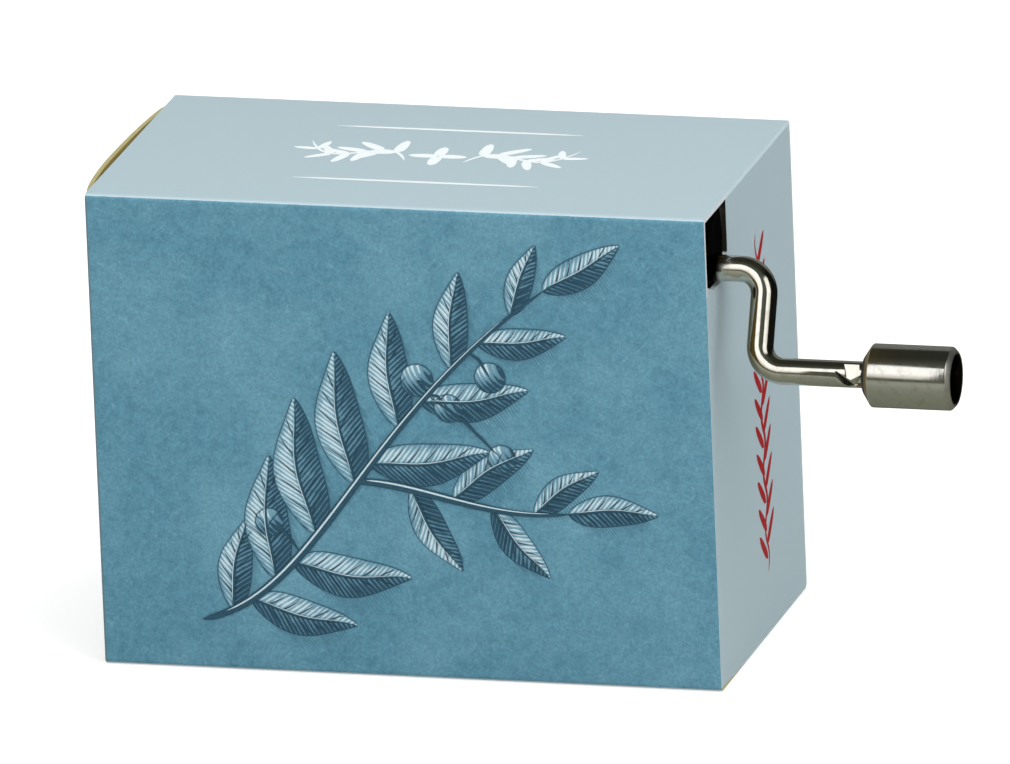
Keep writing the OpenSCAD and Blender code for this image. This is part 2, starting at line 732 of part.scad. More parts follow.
// The thread's crest faces the wheel at the middle of the worm
module worm_thread() {
    flank = tan(flank_angle);
    sink = worm_core_d / 8;
    tip_half = tooth_arc / 2 - addendum * flank;
    root_half = tooth_arc / 2 + (addendum + root_gap + sink) * flank;
    turns = (worm_l - 2 * root_half) / pitch_arc;
    turn_steps = 24;
    last = floor(turns * turn_steps / 2);
    profile = [[-root_half, worm_core_d / 2 - sink], [-tip_half, worm_tip_r],
        [tip_half, worm_tip_r], [root_half, worm_core_d / 2 - sink]];
    sides = len(profile);
    rings = 2 * last + 1;
    points = [for (i = [-last : last], p = profile) let(a = 360 * i / turn_steps)
        [cyl_x - pitch_arc * i / turn_steps + p[0], p[1] * cos(a), p[1] * sin(a)]];
    faces = [
        for (r = [0 : rings - 2], s = [0 : sides - 1])
            let(a = r * sides + s, b = r * sides + (s + 1) % sides)
                each [[a, b + sides, a + sides], [a, b, b + sides]],
        [0, 2, 1], [0, 3, 2],
        let(e = (rings - 1) * sides) each [[e, e + 1, e + 2], [e, e + 2, e + 3]]
    ];
    polyhedron(points, faces, convexity = 8);
}

// An open ring that snaps into the groove in the rod's inner end
module shaft_clip() {
    mouth = rod_d - 2 * groove;
    color(spring_steel) crank_axis() along_x(clip_x, clip_t) difference() {
        circle(d = clip_d);
        circle(d = rod_d - 2 * groove);
        translate([-mouth * 0.45, 0]) square([mouth * 0.9, clip_d]);
    }
}

// The turned knob, free to spin between the staked ears and the riveted end
module knob_sleeve() {
    bore_r = rod_d / 2 + run_gap;
    color(steel) crank_place() translate([knob_x, 0, -crank_throw]) rotate([0, 90, 0]) rotate_extrude()
        polygon([[bore_r, 0], [knob_neck_d / 2, 0], [knob_d / 2, knob_bevel], [knob_d / 2, knob_l - knob_rim],
            [knob_d / 2 - knob_rim, knob_l], [knob_cup_d / 2, knob_l], [knob_cup_d / 2, knob_l - knob_cup],
            [bore_r, knob_l - knob_cup]]);
}

carton_sleeve();
right_end_flap();
right_dust_flap_top();
right_dust_flap_bottom();
left_end_flap();
left_dust_flap_top();
left_dust_flap_bottom();
tape_strips();
base_plate();
comb();
bass_weights();
comb_screws();
bearing_bracket();
bracket_screws();
cylinder_drum();
drum_cap_lower();
drum_cap_upper();
cylinder_arbor();
worm_wheel();
crank_rod();
worm();
shaft_clip();
knob_sleeve();
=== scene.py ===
"""Hand-cranked music box: a printed carton with a plated crank and an eighteen-note comb movement."""
import json
import math
from collections import namedtuple
from contextlib import contextmanager
from functools import partial

import bmesh
import bpy
from bpy.props import FloatProperty, FloatVectorProperty, PointerProperty
from mathutils import Matrix, Vector

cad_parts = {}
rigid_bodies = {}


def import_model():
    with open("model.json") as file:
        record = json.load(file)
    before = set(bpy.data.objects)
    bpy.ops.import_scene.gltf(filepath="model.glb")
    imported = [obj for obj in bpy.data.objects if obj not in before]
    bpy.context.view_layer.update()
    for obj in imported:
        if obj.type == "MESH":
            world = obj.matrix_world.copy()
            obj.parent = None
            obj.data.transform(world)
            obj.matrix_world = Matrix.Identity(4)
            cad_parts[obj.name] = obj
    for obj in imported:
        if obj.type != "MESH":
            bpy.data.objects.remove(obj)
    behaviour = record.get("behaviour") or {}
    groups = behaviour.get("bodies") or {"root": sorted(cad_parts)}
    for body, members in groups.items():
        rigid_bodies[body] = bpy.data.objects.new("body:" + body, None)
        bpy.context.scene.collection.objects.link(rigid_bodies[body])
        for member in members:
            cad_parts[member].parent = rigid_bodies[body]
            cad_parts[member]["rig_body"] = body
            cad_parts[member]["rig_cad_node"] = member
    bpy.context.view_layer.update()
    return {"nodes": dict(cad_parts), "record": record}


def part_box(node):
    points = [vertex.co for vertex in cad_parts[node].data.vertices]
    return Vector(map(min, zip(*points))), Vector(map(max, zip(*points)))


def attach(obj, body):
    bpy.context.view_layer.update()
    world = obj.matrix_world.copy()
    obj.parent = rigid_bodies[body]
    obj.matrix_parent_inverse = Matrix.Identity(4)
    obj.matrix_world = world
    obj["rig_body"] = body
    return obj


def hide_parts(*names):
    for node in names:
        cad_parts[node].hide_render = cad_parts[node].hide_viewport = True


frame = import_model()

bl_info = {
    "name": "Crank music box",
    "version": (1, 0, 0),
    "blender": (4, 5, 0),
    "location": "View3D > Sidebar > Music box",
    "description": "Dresses the packed music box: printed carton, plated crank, comb movement and studio",
    "category": "Object",
}

MM = 0.001
PER_MM = 1000.0
# Points nearer than this are one point
MERGE = 0.001 * MM
# Faces within the first angle are one flat face, and edges above the second are rounded
FLAT, SHARP = math.radians(0.4), math.radians(40)
LOW, HIGH = (Vector(corner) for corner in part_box("carton_sleeve"))
LOW_MM, HIGH_MM = LOW * PER_MM, HIGH * PER_MM
# The crank's opening, in the upper front corner of the crank end
NOTCH_BACK = LOW.y + 7.35 * MM
NOTCH_LOW = HIGH.z - 7 * MM
SLOTS = {part["node"]: part["material_slot"] for part in frame["record"]["subparts"]}


def linear(code):
    """The linear colour of an sRGB hex value."""
    levels = [int(code[i:i + 2], 16) / 255 for i in (0, 2, 4)]
    return tuple(v / 12.92 if v <= 0.04045 else ((v + 0.055) / 1.055) ** 2.4 for v in levels)


def colour(name, description, code):
    """A colour that a user may change, from its sRGB hex value."""
    return FloatVectorProperty(
        name=name, description=description, subtype="COLOR", size=3, min=0, max=1, default=linear(code))


def length(name, description, millimetres):
    """A length that a user may change, from its value in millimetres."""
    return FloatProperty(
        name=name, description=description, unit="LENGTH", min=0, precision=5, default=millimetres * MM)


def brightness(name, description, default, subtype="NONE"):
    """A strength of light that a user may change."""
    return FloatProperty(name=name, description=description, default=default, min=0, subtype=subtype)


class CartonLooks(bpy.types.PropertyGroup):
    """Board and ink of the carton."""
    front_ink: colour("Front ink", "Mean blue of the front panel", "588ea3")
    front_dark: colour("Front dark mottle", "Darker flecks of the blue paper", "3f7288")
    front_light: colour("Front light mottle", "Lighter flecks of the blue paper", "74a6b8")
    pale_ink: colour("Pale ink", "Pale blue of the top, the ends and the back", "adc1c8")
    # Fold wear with a painted highlight: the colour of the light line along the folds
    fold_wear_and_highlight: colour("Worn fold", "Board that shows through the ink along a fold", "c3d6de")
    raw_board: colour("Inner board", "Uncoated inside of the board", "d8bf76")
    fibre: colour("Board fibre", "Darker fibres in the uncoated board", "a08748")
    # Painted shade inside the crank's opening, on the board and on its cut edge there
    painted_notch_shade: colour("Soiled board", "Board by the crank's opening, dark with grease", "24221d")
    cut_board: colour("Cut edge", "Freshly cut edge of the board", "b3ae82")
    notch_edge: colour("Opening edge", "Clean cut edge beside the crank's opening", "cdd5d8")
    # Painted shade along the front's left edge
    edge_shade_and_dulling: colour("Rubbed edge", "Grey rubbed ink along the front's left edge", "62737a")
    # Half width of that worn line with its painted highlight
    fold_line_half: length("Fold wear", "Half width of the worn line along a fold", 0.05)


class PrintLooks(bpy.types.PropertyGroup):
    """Inks of the printed sprig and ornaments."""
    ink: colour("Pen ink", "Dark blue of the pen lines", "254d61")
    wash_dark: colour("Dark wash", "Brushed shade of a leaf", "44738a")
    wash_light: colour("Light wash", "Brushed light of a leaf", "79a7b9")
    white: colour("White heightening", "Body white of the highlights", "c6dae1")
    top_white: colour("Top ornament", "White of the ornament on the top", "eef5f7")
    red: colour("End ornament", "Red of the ornament on the crank end", "aa1b20")
    pitch: length("Hatch pitch", "Distance between two pen lines", 0.46)


class MetalLooks(bpy.types.PropertyGroup):
    """Metals and plastic of the crank and the movement."""
    nickel: colour("Nickel", "Bright plated wire", "d3d1c7")
    steel: colour("Turned steel", "Plated knob", "d0cfc8")
    tarnish: colour("Tarnish", "Warm dull patches on the plating", "a9a392")
    # A painted brown reflection on the knob's bevel and the wire's inner side
    painted_brown_reflection: colour("Bevel", "Oxide on the knob's bevel and the wire's inner side", "5f4d1a")
    # Painted shade in the knob's cup and on the wire inside the carton
    painted_inner_shade: colour("Oiled steel", "Steel dark with oil, in the cup and inside the carton", "1d1b19")
    zinc: colour("Zinc casting", "Die-cast base", "9b9c9a")
    spring: colour("Spring steel", "Ground comb", "b4b6b8")
    lead: colour("Lead", "Weights under the bass teeth", "6d6f73")
    brass: colour("Brass", "Drum and caps", "c2a25f")
    nylon: colour("Nylon", "Moulded wheel", "e5e2d4")
    foam: colour("Foam tape", "Double-sided tape", "dcdcd6")


class CrankSizes(bpy.types.PropertyGroup):
    """Sizes of the bent wire outside the carton, as the solids have them."""
    wire: length("Wire", "Diameter of the crank wire", 2.3)
    bend: length("Bend", "Radius of the two bends at the wire's middle", 2.2)
    arm_out: length("Arm", "Distance from the carton to the crank arm's middle", 4.3)
    crimp: length("Crimp", "Length of the crimp that holds the knob out", 1.7)


class StageLooks(bpy.types.PropertyGroup):
    """Floor, lights and camera."""
    floor: colour("Floor", "Pale floor under the object", "dededc")
    tent: colour("Tent", "Dark cloth over the object, seen in the metal", "34352e")
    tent_front: colour("Tent front", "Cloth above the softboxes, seen in the metal", "5b5e55")
    tent_back: colour("Tent back", "Grey cloth behind the object, seen in the metal", "7e807b")
    tent_left: colour("Tent left", "Warm wall on the left, seen in the metal", "5c4d27")
    tent_right: colour("Tent right", "Black cloth on the right, seen in the metal", "141411")
    card: colour("Floor card", "Floor far in front, as the metal shows it", "a9ac9f")
    card_near: colour("Near floor card", "Floor under the object, as the metal shows it", "7e8172")
    card_back: colour("Rear floor card", "Floor behind the object, as the metal shows it", "1b1b17")
    box_edge: colour("Softbox edge", "Lower edge of a softbox, as the metal shows it", "a9a59a")
    ambient: brightness("Ambient", "Even light from all round", 0.34)
    key: brightness("Key", "Left softbox, in watts", 2.7, "POWER")
    side: brightness("Side", "Right softbox, in watts", 3.9, "POWER")
    shine: brightness("Shine", "Brightness of the softboxes in the metal", 1.6)
    top: brightness("Top", "Overhead light, in watts", 3.8, "POWER")


def connect(socket, value):
    """Gives a socket a value, or a link from an output or from a node's first output."""
    if isinstance(value, bpy.types.Node):
        value = next(output for output in value.outputs if output.enabled)
    if isinstance(value, bpy.types.NodeSocket):
        socket.id_data.links.new(value, socket)
    elif socket.type == "RGBA":
        socket.default_value = (*value, 1)
    else:
        socket.default_value = value


def fill(node, **sockets):
    """Connects a node's sockets by name."""
    for name, value in sockets.items():
        connect(node.inputs[name.replace("_", " ")], value)


def add(tree, kind, *values, **settings):
    """Adds a shader node. Values go to its sockets in order, and a setting is its own or names a socket."""
    kind, dot, operation = kind.partition(".")
    made = tree.nodes.new("ShaderNode" + kind)
    if operation:
        made.operation = operation
    if kind == "Mix":
        made.data_type = "RGBA"
    for name, value in settings.items():
        if name in made.inputs:
            connect(made.inputs[name], value)
        else:
            setattr(made, name, value)
    for socket, value in zip([socket for socket in made.inputs if socket.enabled], values):
        connect(socket, value)
    return made


def material(name, **sockets):
    """Makes a material with its shader's constants. Gives both, its add function and its places in mm."""
    made = bpy.data.materials.new(name)
    made.use_nodes = True
    shader = made.node_tree.nodes["Principled BSDF"]
    fill(shader, **sockets)
    node = partial(add, made.node_tree)
    place = node("TexCoord").outputs["Object"]
    return made, shader, node, node("Mapping", place, Scale=(PER_MM, PER_MM, PER_MM))


# In the materials a noise has its place, its cells in a millimetre, its detail and its roughness. A map
# range has its value, the two ends that it reads and the two that it gives. A mix has its share and colours


def printed_board():
    """Coated cartonboard, offset printed: a dull sheen, mottled blue in front, pale ink on the rest."""
    looks = bpy.context.scene.carton_looks
    made, shader, node, mm = material(
        "offset_printed_board", Specular_IOR_Level=0.3, Coat_Weight=0.06, Coat_Roughness=0.4)
    x, y, z = node("SeparateXYZ", mm).outputs
    # The blue paper: clouds of about 8 mm, flecks of about 1 mm and a fine grain
    cloud = node("TexNoise", mm, 0.12, 5.0, 0.6)
    fleck = node("TexNoise", mm, 1.1, 6.0, 0.7)
    grain = node("TexNoise", mm, 3.6, 2.0, 0.8)
    dark = node("MapRange", fleck, 0.58, 0.36, 0.0, 0.5)
    light = node("MapRange", cloud, 0.42, 0.7, 0.0, 0.5)
    blue = node("Mix", dark, looks.front_ink, looks.front_dark)
    blue = node("Mix", light, blue, looks.front_light)
    # Light fibres, 1 to 3 mm long and about 0.2 mm wide, that lie in several directions
    for turn, run in ((24, 1.8), (78, 1.2), (-47, 2.6)):
        laid = node(
            "Mapping", mm, Rotation=(0, math.radians(turn), 0), Scale=(run, 1, 0.2), vector_type="TEXTURE")
        shown = node("MapRange", node("TexNoise", laid, 1.0, 1.0), 0.66, 0.78, 0.0, 0.4)
        blue = node("Mix", shown, blue, looks.front_light)
    speck = node("MapRange", grain, 0.3, 0.7, 0.82, 1.18)
    grey = node("CombineColor", speck, speck, speck)
    blue = node("Mix", 1.0, blue, grey, blend_type="MULTIPLY")
    # The front ink runs to the middle of the front folds
    fold_mid = 0.146
    front = node("Math.LESS_THAN", y, LOW_MM.y + fold_mid)
    inked = node("Mix", front, looks.pale_ink, blue)
    # Painted shade: a grey line along the front's left edge
    edge_shade_and_dulling = node("MapRange", x, LOW_MM.x + 0.22, LOW_MM.x + 0.1, 0.0, 0.9)
    edge_shade_and_dulling = node("Math.MULTIPLY", edge_shade_and_dulling, front)
    inked = node("Mix", edge_shade_and_dulling, inked, looks.edge_shade_and_dulling)
    # Worn line with a painted highlight along the four long folds, fainter where the ink held
    across = node("Math.ABSOLUTE", y)
    across = node("Math.SUBTRACT", across, HIGH_MM.y - fold_mid)
    middle = (LOW_MM.z + HIGH_MM.z) / 2
    upright = node("Math.SUBTRACT", z, middle)
    upright = node("Math.ABSOLUTE", upright)
    upright = node("Math.SUBTRACT", upright, HIGH_MM.z - middle - fold_mid)
    away = node("VectorMath.LENGTH", node("CombineXYZ", across, upright))
    fold_line_half = looks.fold_line_half * PER_MM
    worn_and_lit = node("MapRange", away, fold_line_half * 1.5, fold_line_half * 0.6, 0.0, 0.9)
    held = node("MapRange", fleck, 0.3, 0.5, 0.7, 1.0)
    worn_and_lit = node("Math.MULTIPLY", worn_and_lit, held)
    fill(shader, Base_Color=node("Mix", worn_and_lit, inked, looks.fold_wear_and_highlight),
         Roughness=node("MapRange", grain, 0.2, 0.8, 0.46, 0.6),
         Normal=node("Bump", Height=grain, Distance=0.01 * MM, Strength=0.35))
    return made


def raw_board():
    """Uncoated grey board from pulp: matt and brownish, with short fibres that lie one way."""
    looks = bpy.context.scene.carton_looks
    made, shader, node, mm = material("uncoated_pulp_board", Roughness=0.9, Specular_IOR_Level=0.15)
    x, y, z = node("SeparateXYZ", mm).outputs
    fibre = node("TexNoise", node("Mapping", mm, Scale=(0.7, 3.0, 0.7)), 1.6, 6.0, 0.7)
    shade = node("MapRange", fibre, 0.45, 0.7, 0.0, 0.7)
    board = node("Mix", shade, looks.raw_board, looks.fibre)
    # Painted shade: the board inside is darkened beside the crank's opening
    front = node("Math.LESS_THAN", y, NOTCH_BACK * PER_MM)
    above = node("Math.GREATER_THAN", z, NOTCH_LOW * PER_MM)
    notch_shade_mask = node("MapRange", x, HIGH_MM.x - 5, HIGH_MM.x - 2, 0.0, 0.95)
    notch_shade_mask = node("Math.MULTIPLY", notch_shade_mask, front)
    notch_shade_mask = node("Math.MULTIPLY", notch_shade_mask, above)
    fill(shader, Base_Color=node("Mix", notch_shade_mask, board, looks.painted_notch_shade),
         Normal=node("Bump", Height=fibre, Distance=0.03 * MM, Strength=0.5))
    return made


def cut_board():
    """Die-cut board edge: fuzzy grey pulp, cleaner by the opening, printed over at a fold."""
    looks = bpy.context.scene.carton_looks
    made, shader, node, mm = material("die_cut_board_edge", Roughness=0.85, Specular_IOR_Level=0.15)
    x, y, z = node("SeparateXYZ", mm).outputs
    layers = node("TexNoise", mm, 3.2, 5.0, 0.7)
    shade = node("MapRange", layers, 0.4, 0.75, 0.0, 0.5)
    pulp = node("Mix", shade, looks.cut_board, looks.fibre)
    right = node("Math.GREATER_THAN", x, 0.0)
    behind = node("Math.GREATER_THAN", y, NOTCH_BACK * PER_MM)
    below = node("Math.LESS_THAN", z, NOTCH_LOW * PER_MM)
    folded = node("Math.MAXIMUM", behind, below)
    folded = node("Math.MULTIPLY", folded, right)
    # Both end flaps hang on the back panel, so the board runs on there
    hinge = node("Math.GREATER_THAN", y, HIGH_MM.y - 0.7)
    folded = node("Math.MAXIMUM", folded, hinge)
    edge = node("Mix", right, pulp, looks.notch_edge)
    # Along its upper millimetre the fold is worn and has a painted highlight, lit from above
    upper = node("Math.GREATER_THAN", z, HIGH_MM.z - 1)
    over = node("Mix", upper, looks.pale_ink, looks.fold_wear_and_highlight)
    edge = node("Mix", folded, edge, over)
    # The ink is off the lower front corner of the crank end, in a strip that narrows over about 8 mm
    narrowing, strip = 0.035, 0.3
    corner = node("Math.MULTIPLY_ADD", y, narrowing, z)
    corner = node("Math.LESS_THAN", corner, LOW_MM.y * narrowing + strip)
    corner = node("Math.MULTIPLY", corner, right)
    fill(shader, Base_Color=node("Mix", corner, edge, pulp),
         Normal=node("Bump", Height=layers, Distance=0.02 * MM, Strength=0.5))
    return made


def painted_shade_edge():
    """Cut board by the crank's opening with painted shade: near black, with the fibres still raised."""
    looks = bpy.context.scene.carton_looks
    made, shader, node, mm = material("board_edge_painted_shade", Roughness=0.7, Specular_IOR_Level=0.2)
    fuzz = node("TexNoise", mm, 3.0, 4.0)
    shown = node("MapRange", fuzz, 0.55, 0.8, 0.0, 0.1)
    fill(shader, Base_Color=node("Mix", shown, looks.painted_notch_shade, looks.fibre),
         Normal=node("Bump", Height=fuzz, Distance=0.02 * MM, Strength=0.5))
    return made


def leaf_print():
    """Offset print of a pen and brush drawing: hatched ink over a wash, with white between the lines."""
    looks = bpy.context.scene.print_looks
    made, shader, node, mm = material("offset_print_of_hatching", Roughness=0.55, Specular_IOR_Level=0.3)
    tone, hatch, rim = (node("Attribute", attribute_name=name).outputs["Fac"] for name in FILM_VALUES)
    hand = node("TexNoise", mm, 1.3, 4.0, 0.65)
    waver = node("Math.SUBTRACT", hand, 0.5)
    tone = node("Math.MULTIPLY_ADD", waver, 0.55, tone)
    line = node("Math.MULTIPLY_ADD", waver, 0.9, hatch)
    line = node("Math.PINGPONG", line, 1.0)
    # A line's middle is 0 and the gap's middle is 1, so the cover is the share of the pitch that is inked
    cover = node("MapRange", tone, 0.1, 0.66, 0.85, -0.1)
    gap = node("MapRange", tone, 0.5, 1.0, 1.1, 0.3)
    # How sharp a line's edge is, and its tone there
    sharp, edge = 2.6, 0.42
    inked = node("Math.SUBTRACT", cover, line)
    inked = node("Math.MULTIPLY_ADD", inked, sharp, edge, use_clamp=True)
    whited = node("Math.SUBTRACT", line, gap)
    whited = node("Math.MULTIPLY_ADD", whited, sharp, edge, use_clamp=True)
    outline = node("MapRange", rim, 0.13, 0.06, 0.0, 0.9)
    shade = node("Mix", tone, looks.wash_dark, looks.wash_light)
    for share, over in ((whited, looks.white), (inked, looks.ink), (outline, looks.ink)):
        shade = node("Mix", share, shade, over)
    fill(shader, Base_Color=shade)
    return made


def flat_ink(name, shade, thin):
    """Offset ink in one colour on coated board: even, with a slightly starved grain."""
    made, shader, node, mm = material(name, Roughness=0.5, Specular_IOR_Level=0.3)
    starved = node("MapRange", node("TexNoise", mm, 3.0, 4.0, 0.7), 0.5, 0.8, 0.0, 0.4)
    fill(shader, Base_Color=node("Mix", starved, shade, thin))
    return made


def metal(name, shade, dull, roughness, spread, scale_mm, depth_mm, stretch=(1, 1, 1)):
    """A metal whose colour, gloss and relief vary over grains of one size, drawn out along an axis."""
    made, shader, node, mm = material(name, Metallic=1.0)
    grain = node("TexNoise", node("Mapping", mm, Scale=stretch), 1 / scale_mm, 5.0, 0.6)
    tarnish = node("MapRange", grain, 0.5, 0.8, 0.0, 0.6)
    fill(shader, Base_Color=node("Mix", tarnish, shade, dull),
         Roughness=node("MapRange", grain, 0.3, 0.7, roughness - spread, roughness + spread),
         Normal=node("Bump", Height=grain, Distance=depth_mm * MM, Strength=0.5))
    return made


def turned_knob():
    """Plated steel off the lathe: fine rings, a dull rim, a painted brown reflection on the bevel and
    painted shade in the cup.
    """
    looks = bpy.context.scene.metal_looks
    low, high = (Vector(corner) * PER_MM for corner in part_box("knob_sleeve"))
    middle = (low + high) / 2
    end = high.x - low.x
    bevel_l, cup_r, rim_l = 0.7, 2.15, 0.4
    made, shader, node, mm = material("turned_plated_steel", Metallic=1.0)
    centred = node("Mapping", mm, Location=(-low.x, -middle.y, -middle.z))
    x, y, z = node("SeparateXYZ", centred).outputs
    radius = node("VectorMath.LENGTH", node("CombineXYZ", 0.0, y, z))
    ring = node("TexNoise", node("Mapping", centred, Scale=(5, 0.35, 0.35)), 0.8, 3.0)
    stain = node("TexNoise", mm, 1.4, 5.0, 0.65)
    cloudy = node("MapRange", stain, 0.52, 0.75, 0.0, 0.5)
    bevel = node("MapRange", x, bevel_l + 0.06, bevel_l - 0.02, 0.0, 0.95)
    cup = node("MapRange", radius, cup_r + 0.05, cup_r + 0.01, 0.0, 1.0)
    shade = looks.steel
    # Over the steel: random tarnish, a painted brown reflection on the less metallic bevel, and painted
    # shade in the cup
    for share, over in ((cloudy, looks.tarnish), (bevel, looks.painted_brown_reflection), (cup, looks.painted_inner_shade)):
        shade = node("Mix", share, shade, over)
    gloss = node("MapRange", stain, 0.3, 0.7, 0.1, 0.2)
    gloss = node("Math.MULTIPLY_ADD", bevel, 0.5, gloss)
    # The rim is rubbed dull, so it takes light from all round
    rim = node("MapRange", x, end - rim_l, end - rim_l + 0.1, 0.0, 0.35)
    fill(shader, Base_Color=shade, Metallic=node("Math.SUBTRACT", 1.0, bevel),
         Roughness=node("Math.ADD", gloss, rim),
         Normal=node("Bump", Height=ring, Distance=0.012 * MM, Strength=0.35))
    return made


def nickel_wire():
    """Drawn wire, barrel plated with bright nickel: near mirror, faintly rippled, with a painted brown
    reflection on its inner side and painted shade inside the carton.
    """
    looks = bpy.context.scene.metal_looks
    made, shader, node, mm = material("bright_nickel_wire", Metallic=1.0)
    along = node("SeparateXYZ", mm).outputs["X"]
    ripple = node("TexNoise", mm, 0.9, 4.0, 0.6)
    stain = node("MapRange", ripple, 0.5, 0.75, 0.0, 0.5)
    # A painted brown reflection on the wire's side that faces the carton
    brown_reflection = node("Attribute", attribute_name="brown_reflection").outputs["Fac"]
    # Painted shade on the wire inside the carton
    shade_in_carton = node("MapRange", along, HIGH_MM.x + 0.45, HIGH_MM.x + 0.1, 0.0, 1.0)
    shade = looks.nickel
    for share, over in ((stain, looks.tarnish), (brown_reflection, looks.painted_brown_reflection), (shade_in_carton, looks.painted_inner_shade)):
        shade = node("Mix", share, shade, over)
    gloss = node("MapRange", ripple, 0.3, 0.7, 0.09, 0.15)
    # Rougher, so duller, close to the carton
    edge_shade_and_dulling = node("MapRange", along, HIGH_MM.x + 2.2, HIGH_MM.x + 0.8, 0.0, 0.06)
    fill(shader, Base_Color=shade, Roughness=node("Math.ADD", gloss, edge_shade_and_dulling),
         Normal=node("Bump", Height=ripple, Distance=0.012 * MM, Strength=0.5))
    return made


def moulded(name, shade, dull, roughness, scale_mm, depth_mm):
    """A moulded or cast plastic: even colour, a faint grain and a soft sheen."""
    made, shader, node, mm = material(name, Specular_IOR_Level=0.4, Roughness=roughness)
    grain = node("TexNoise", mm, 1 / scale_mm, 4.0)
    fill(shader, Base_Color=node("Mix", grain, shade, dull),
         Normal=node("Bump", Height=grain, Distance=depth_mm * MM, Strength=0.4))
    return made


def pick(*pieces):
    """Selects pieces alone and makes the first one active."""
    bpy.ops.object.select_all(action="DESELECT")
    for piece in pieces:
        piece.select_set(True)
    bpy.context.view_layer.objects.active = pieces[0]


def begin(name, operator, **settings):
    """Runs an operator that adds an object, with nothing selected, and names what it adds."""
    bpy.ops.object.select_all(action="DESELECT")
    operator(**settings)
    piece = bpy.context.view_layer.objects.active
    piece.name = name
    return piece


def copy_of(piece, name):
    """A copy of a piece with a mesh of its own."""
    pick(piece)
    bpy.ops.object.duplicate()
    made = bpy.context.view_layer.objects.active
    made.name = name
    return made


@contextmanager
def editing(piece):
    """Edit mode on one piece, with its whole mesh selected."""
    pick(piece)
    bpy.ops.object.mode_set(mode="EDIT")
    bpy.ops.mesh.select_all(action="SELECT")
    yield
    bpy.ops.object.mode_set(mode="OBJECT")


def settle(piece, place):
    """Puts a piece at its place and leaves the place in its mesh."""
    pick(piece)
    piece.matrix_world = place
    bpy.ops.object.transform_apply()


def apply_modifier(piece, kind, **settings):
    """Adds a modifier to a piece and applies it."""
    pick(piece)
    modifier = piece.modifiers.new(kind.lower(), kind)
    for name, value in settings.items():
        setattr(modifier, name, value)
    bpy.ops.object.modifier_apply(modifier=modifier.name)


def smooth(piece, angle):
    """Shades a piece smooth across edges below an angle in degrees."""
    pick(piece)
    bpy.ops.object.shade_smooth_by_angle(angle=math.radians(angle))


def refined(node, bevel_mm=0.0, angle=35):
    """A merged copy of a CAD node with its small edges rounded, which stands for the node."""
    source = frame["nodes"][node]
    body = source["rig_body"]
    piece = copy_of(source, node + "_finished")
    piece.data.name = piece.name
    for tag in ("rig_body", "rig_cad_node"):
        if tag in piece:
            del piece[tag]
    piece.parent = None
    piece.data.materials.clear()
    with editing(piece):
        bpy.ops.mesh.remove_doubles(threshold=MERGE)
        bpy.ops.mesh.dissolve_limited(angle_limit=FLAT)
    if bevel_mm:
        apply_modifier(piece, "BEVEL", width=bevel_mm * MM, segments=2, limit_method="ANGLE",
                       angle_limit=SHARP)
    smooth(piece, angle)
    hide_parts(node)
    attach(piece, body)
    return piece


def paint(piece, *materials, sort=None):
    """Gives a piece its materials, and each face the one that sort picks from its middle and normal."""
    for one in materials:
        piece.data.materials.append(one)
    if sort:
        for face in piece.data.polygons:
            face.material_index = sort(face.center, face.normal)


def board_materials():
    """The printed side, the raw side, the cut edge, and the cut edge by the opening with painted shade."""
    makers = {"offset_printed_board": printed_board, "uncoated_pulp_board": raw_board,
              "die_cut_board_edge": cut_board, "board_edge_painted_shade": painted_shade_edge}
    return [bpy.data.materials.get(name) or make() for name, make in makers.items()]


PRINTED, RAW, CUT, SHADE_PAINTED = range(4)


class CartonSleeve(bpy.types.Operator):
    """Print the folded sleeve: blue in front, pale round it, raw inside."""
    bl_idname = "musicbox.carton_sleeve"
    bl_label = "Carton sleeve"

    def execute(self, context):
        skin = 0.2 * MM

        def sort(middle, normal):
            if abs(normal.x) > 0.9:
                return CUT
            inside = LOW.y + skin < middle.y < HIGH.y - skin and LOW.z + skin < middle.z < HIGH.z - skin
            return RAW if inside else PRINTED

        paint(refined("carton_sleeve"), *board_materials(), sort=sort)
        return {"FINISHED"}


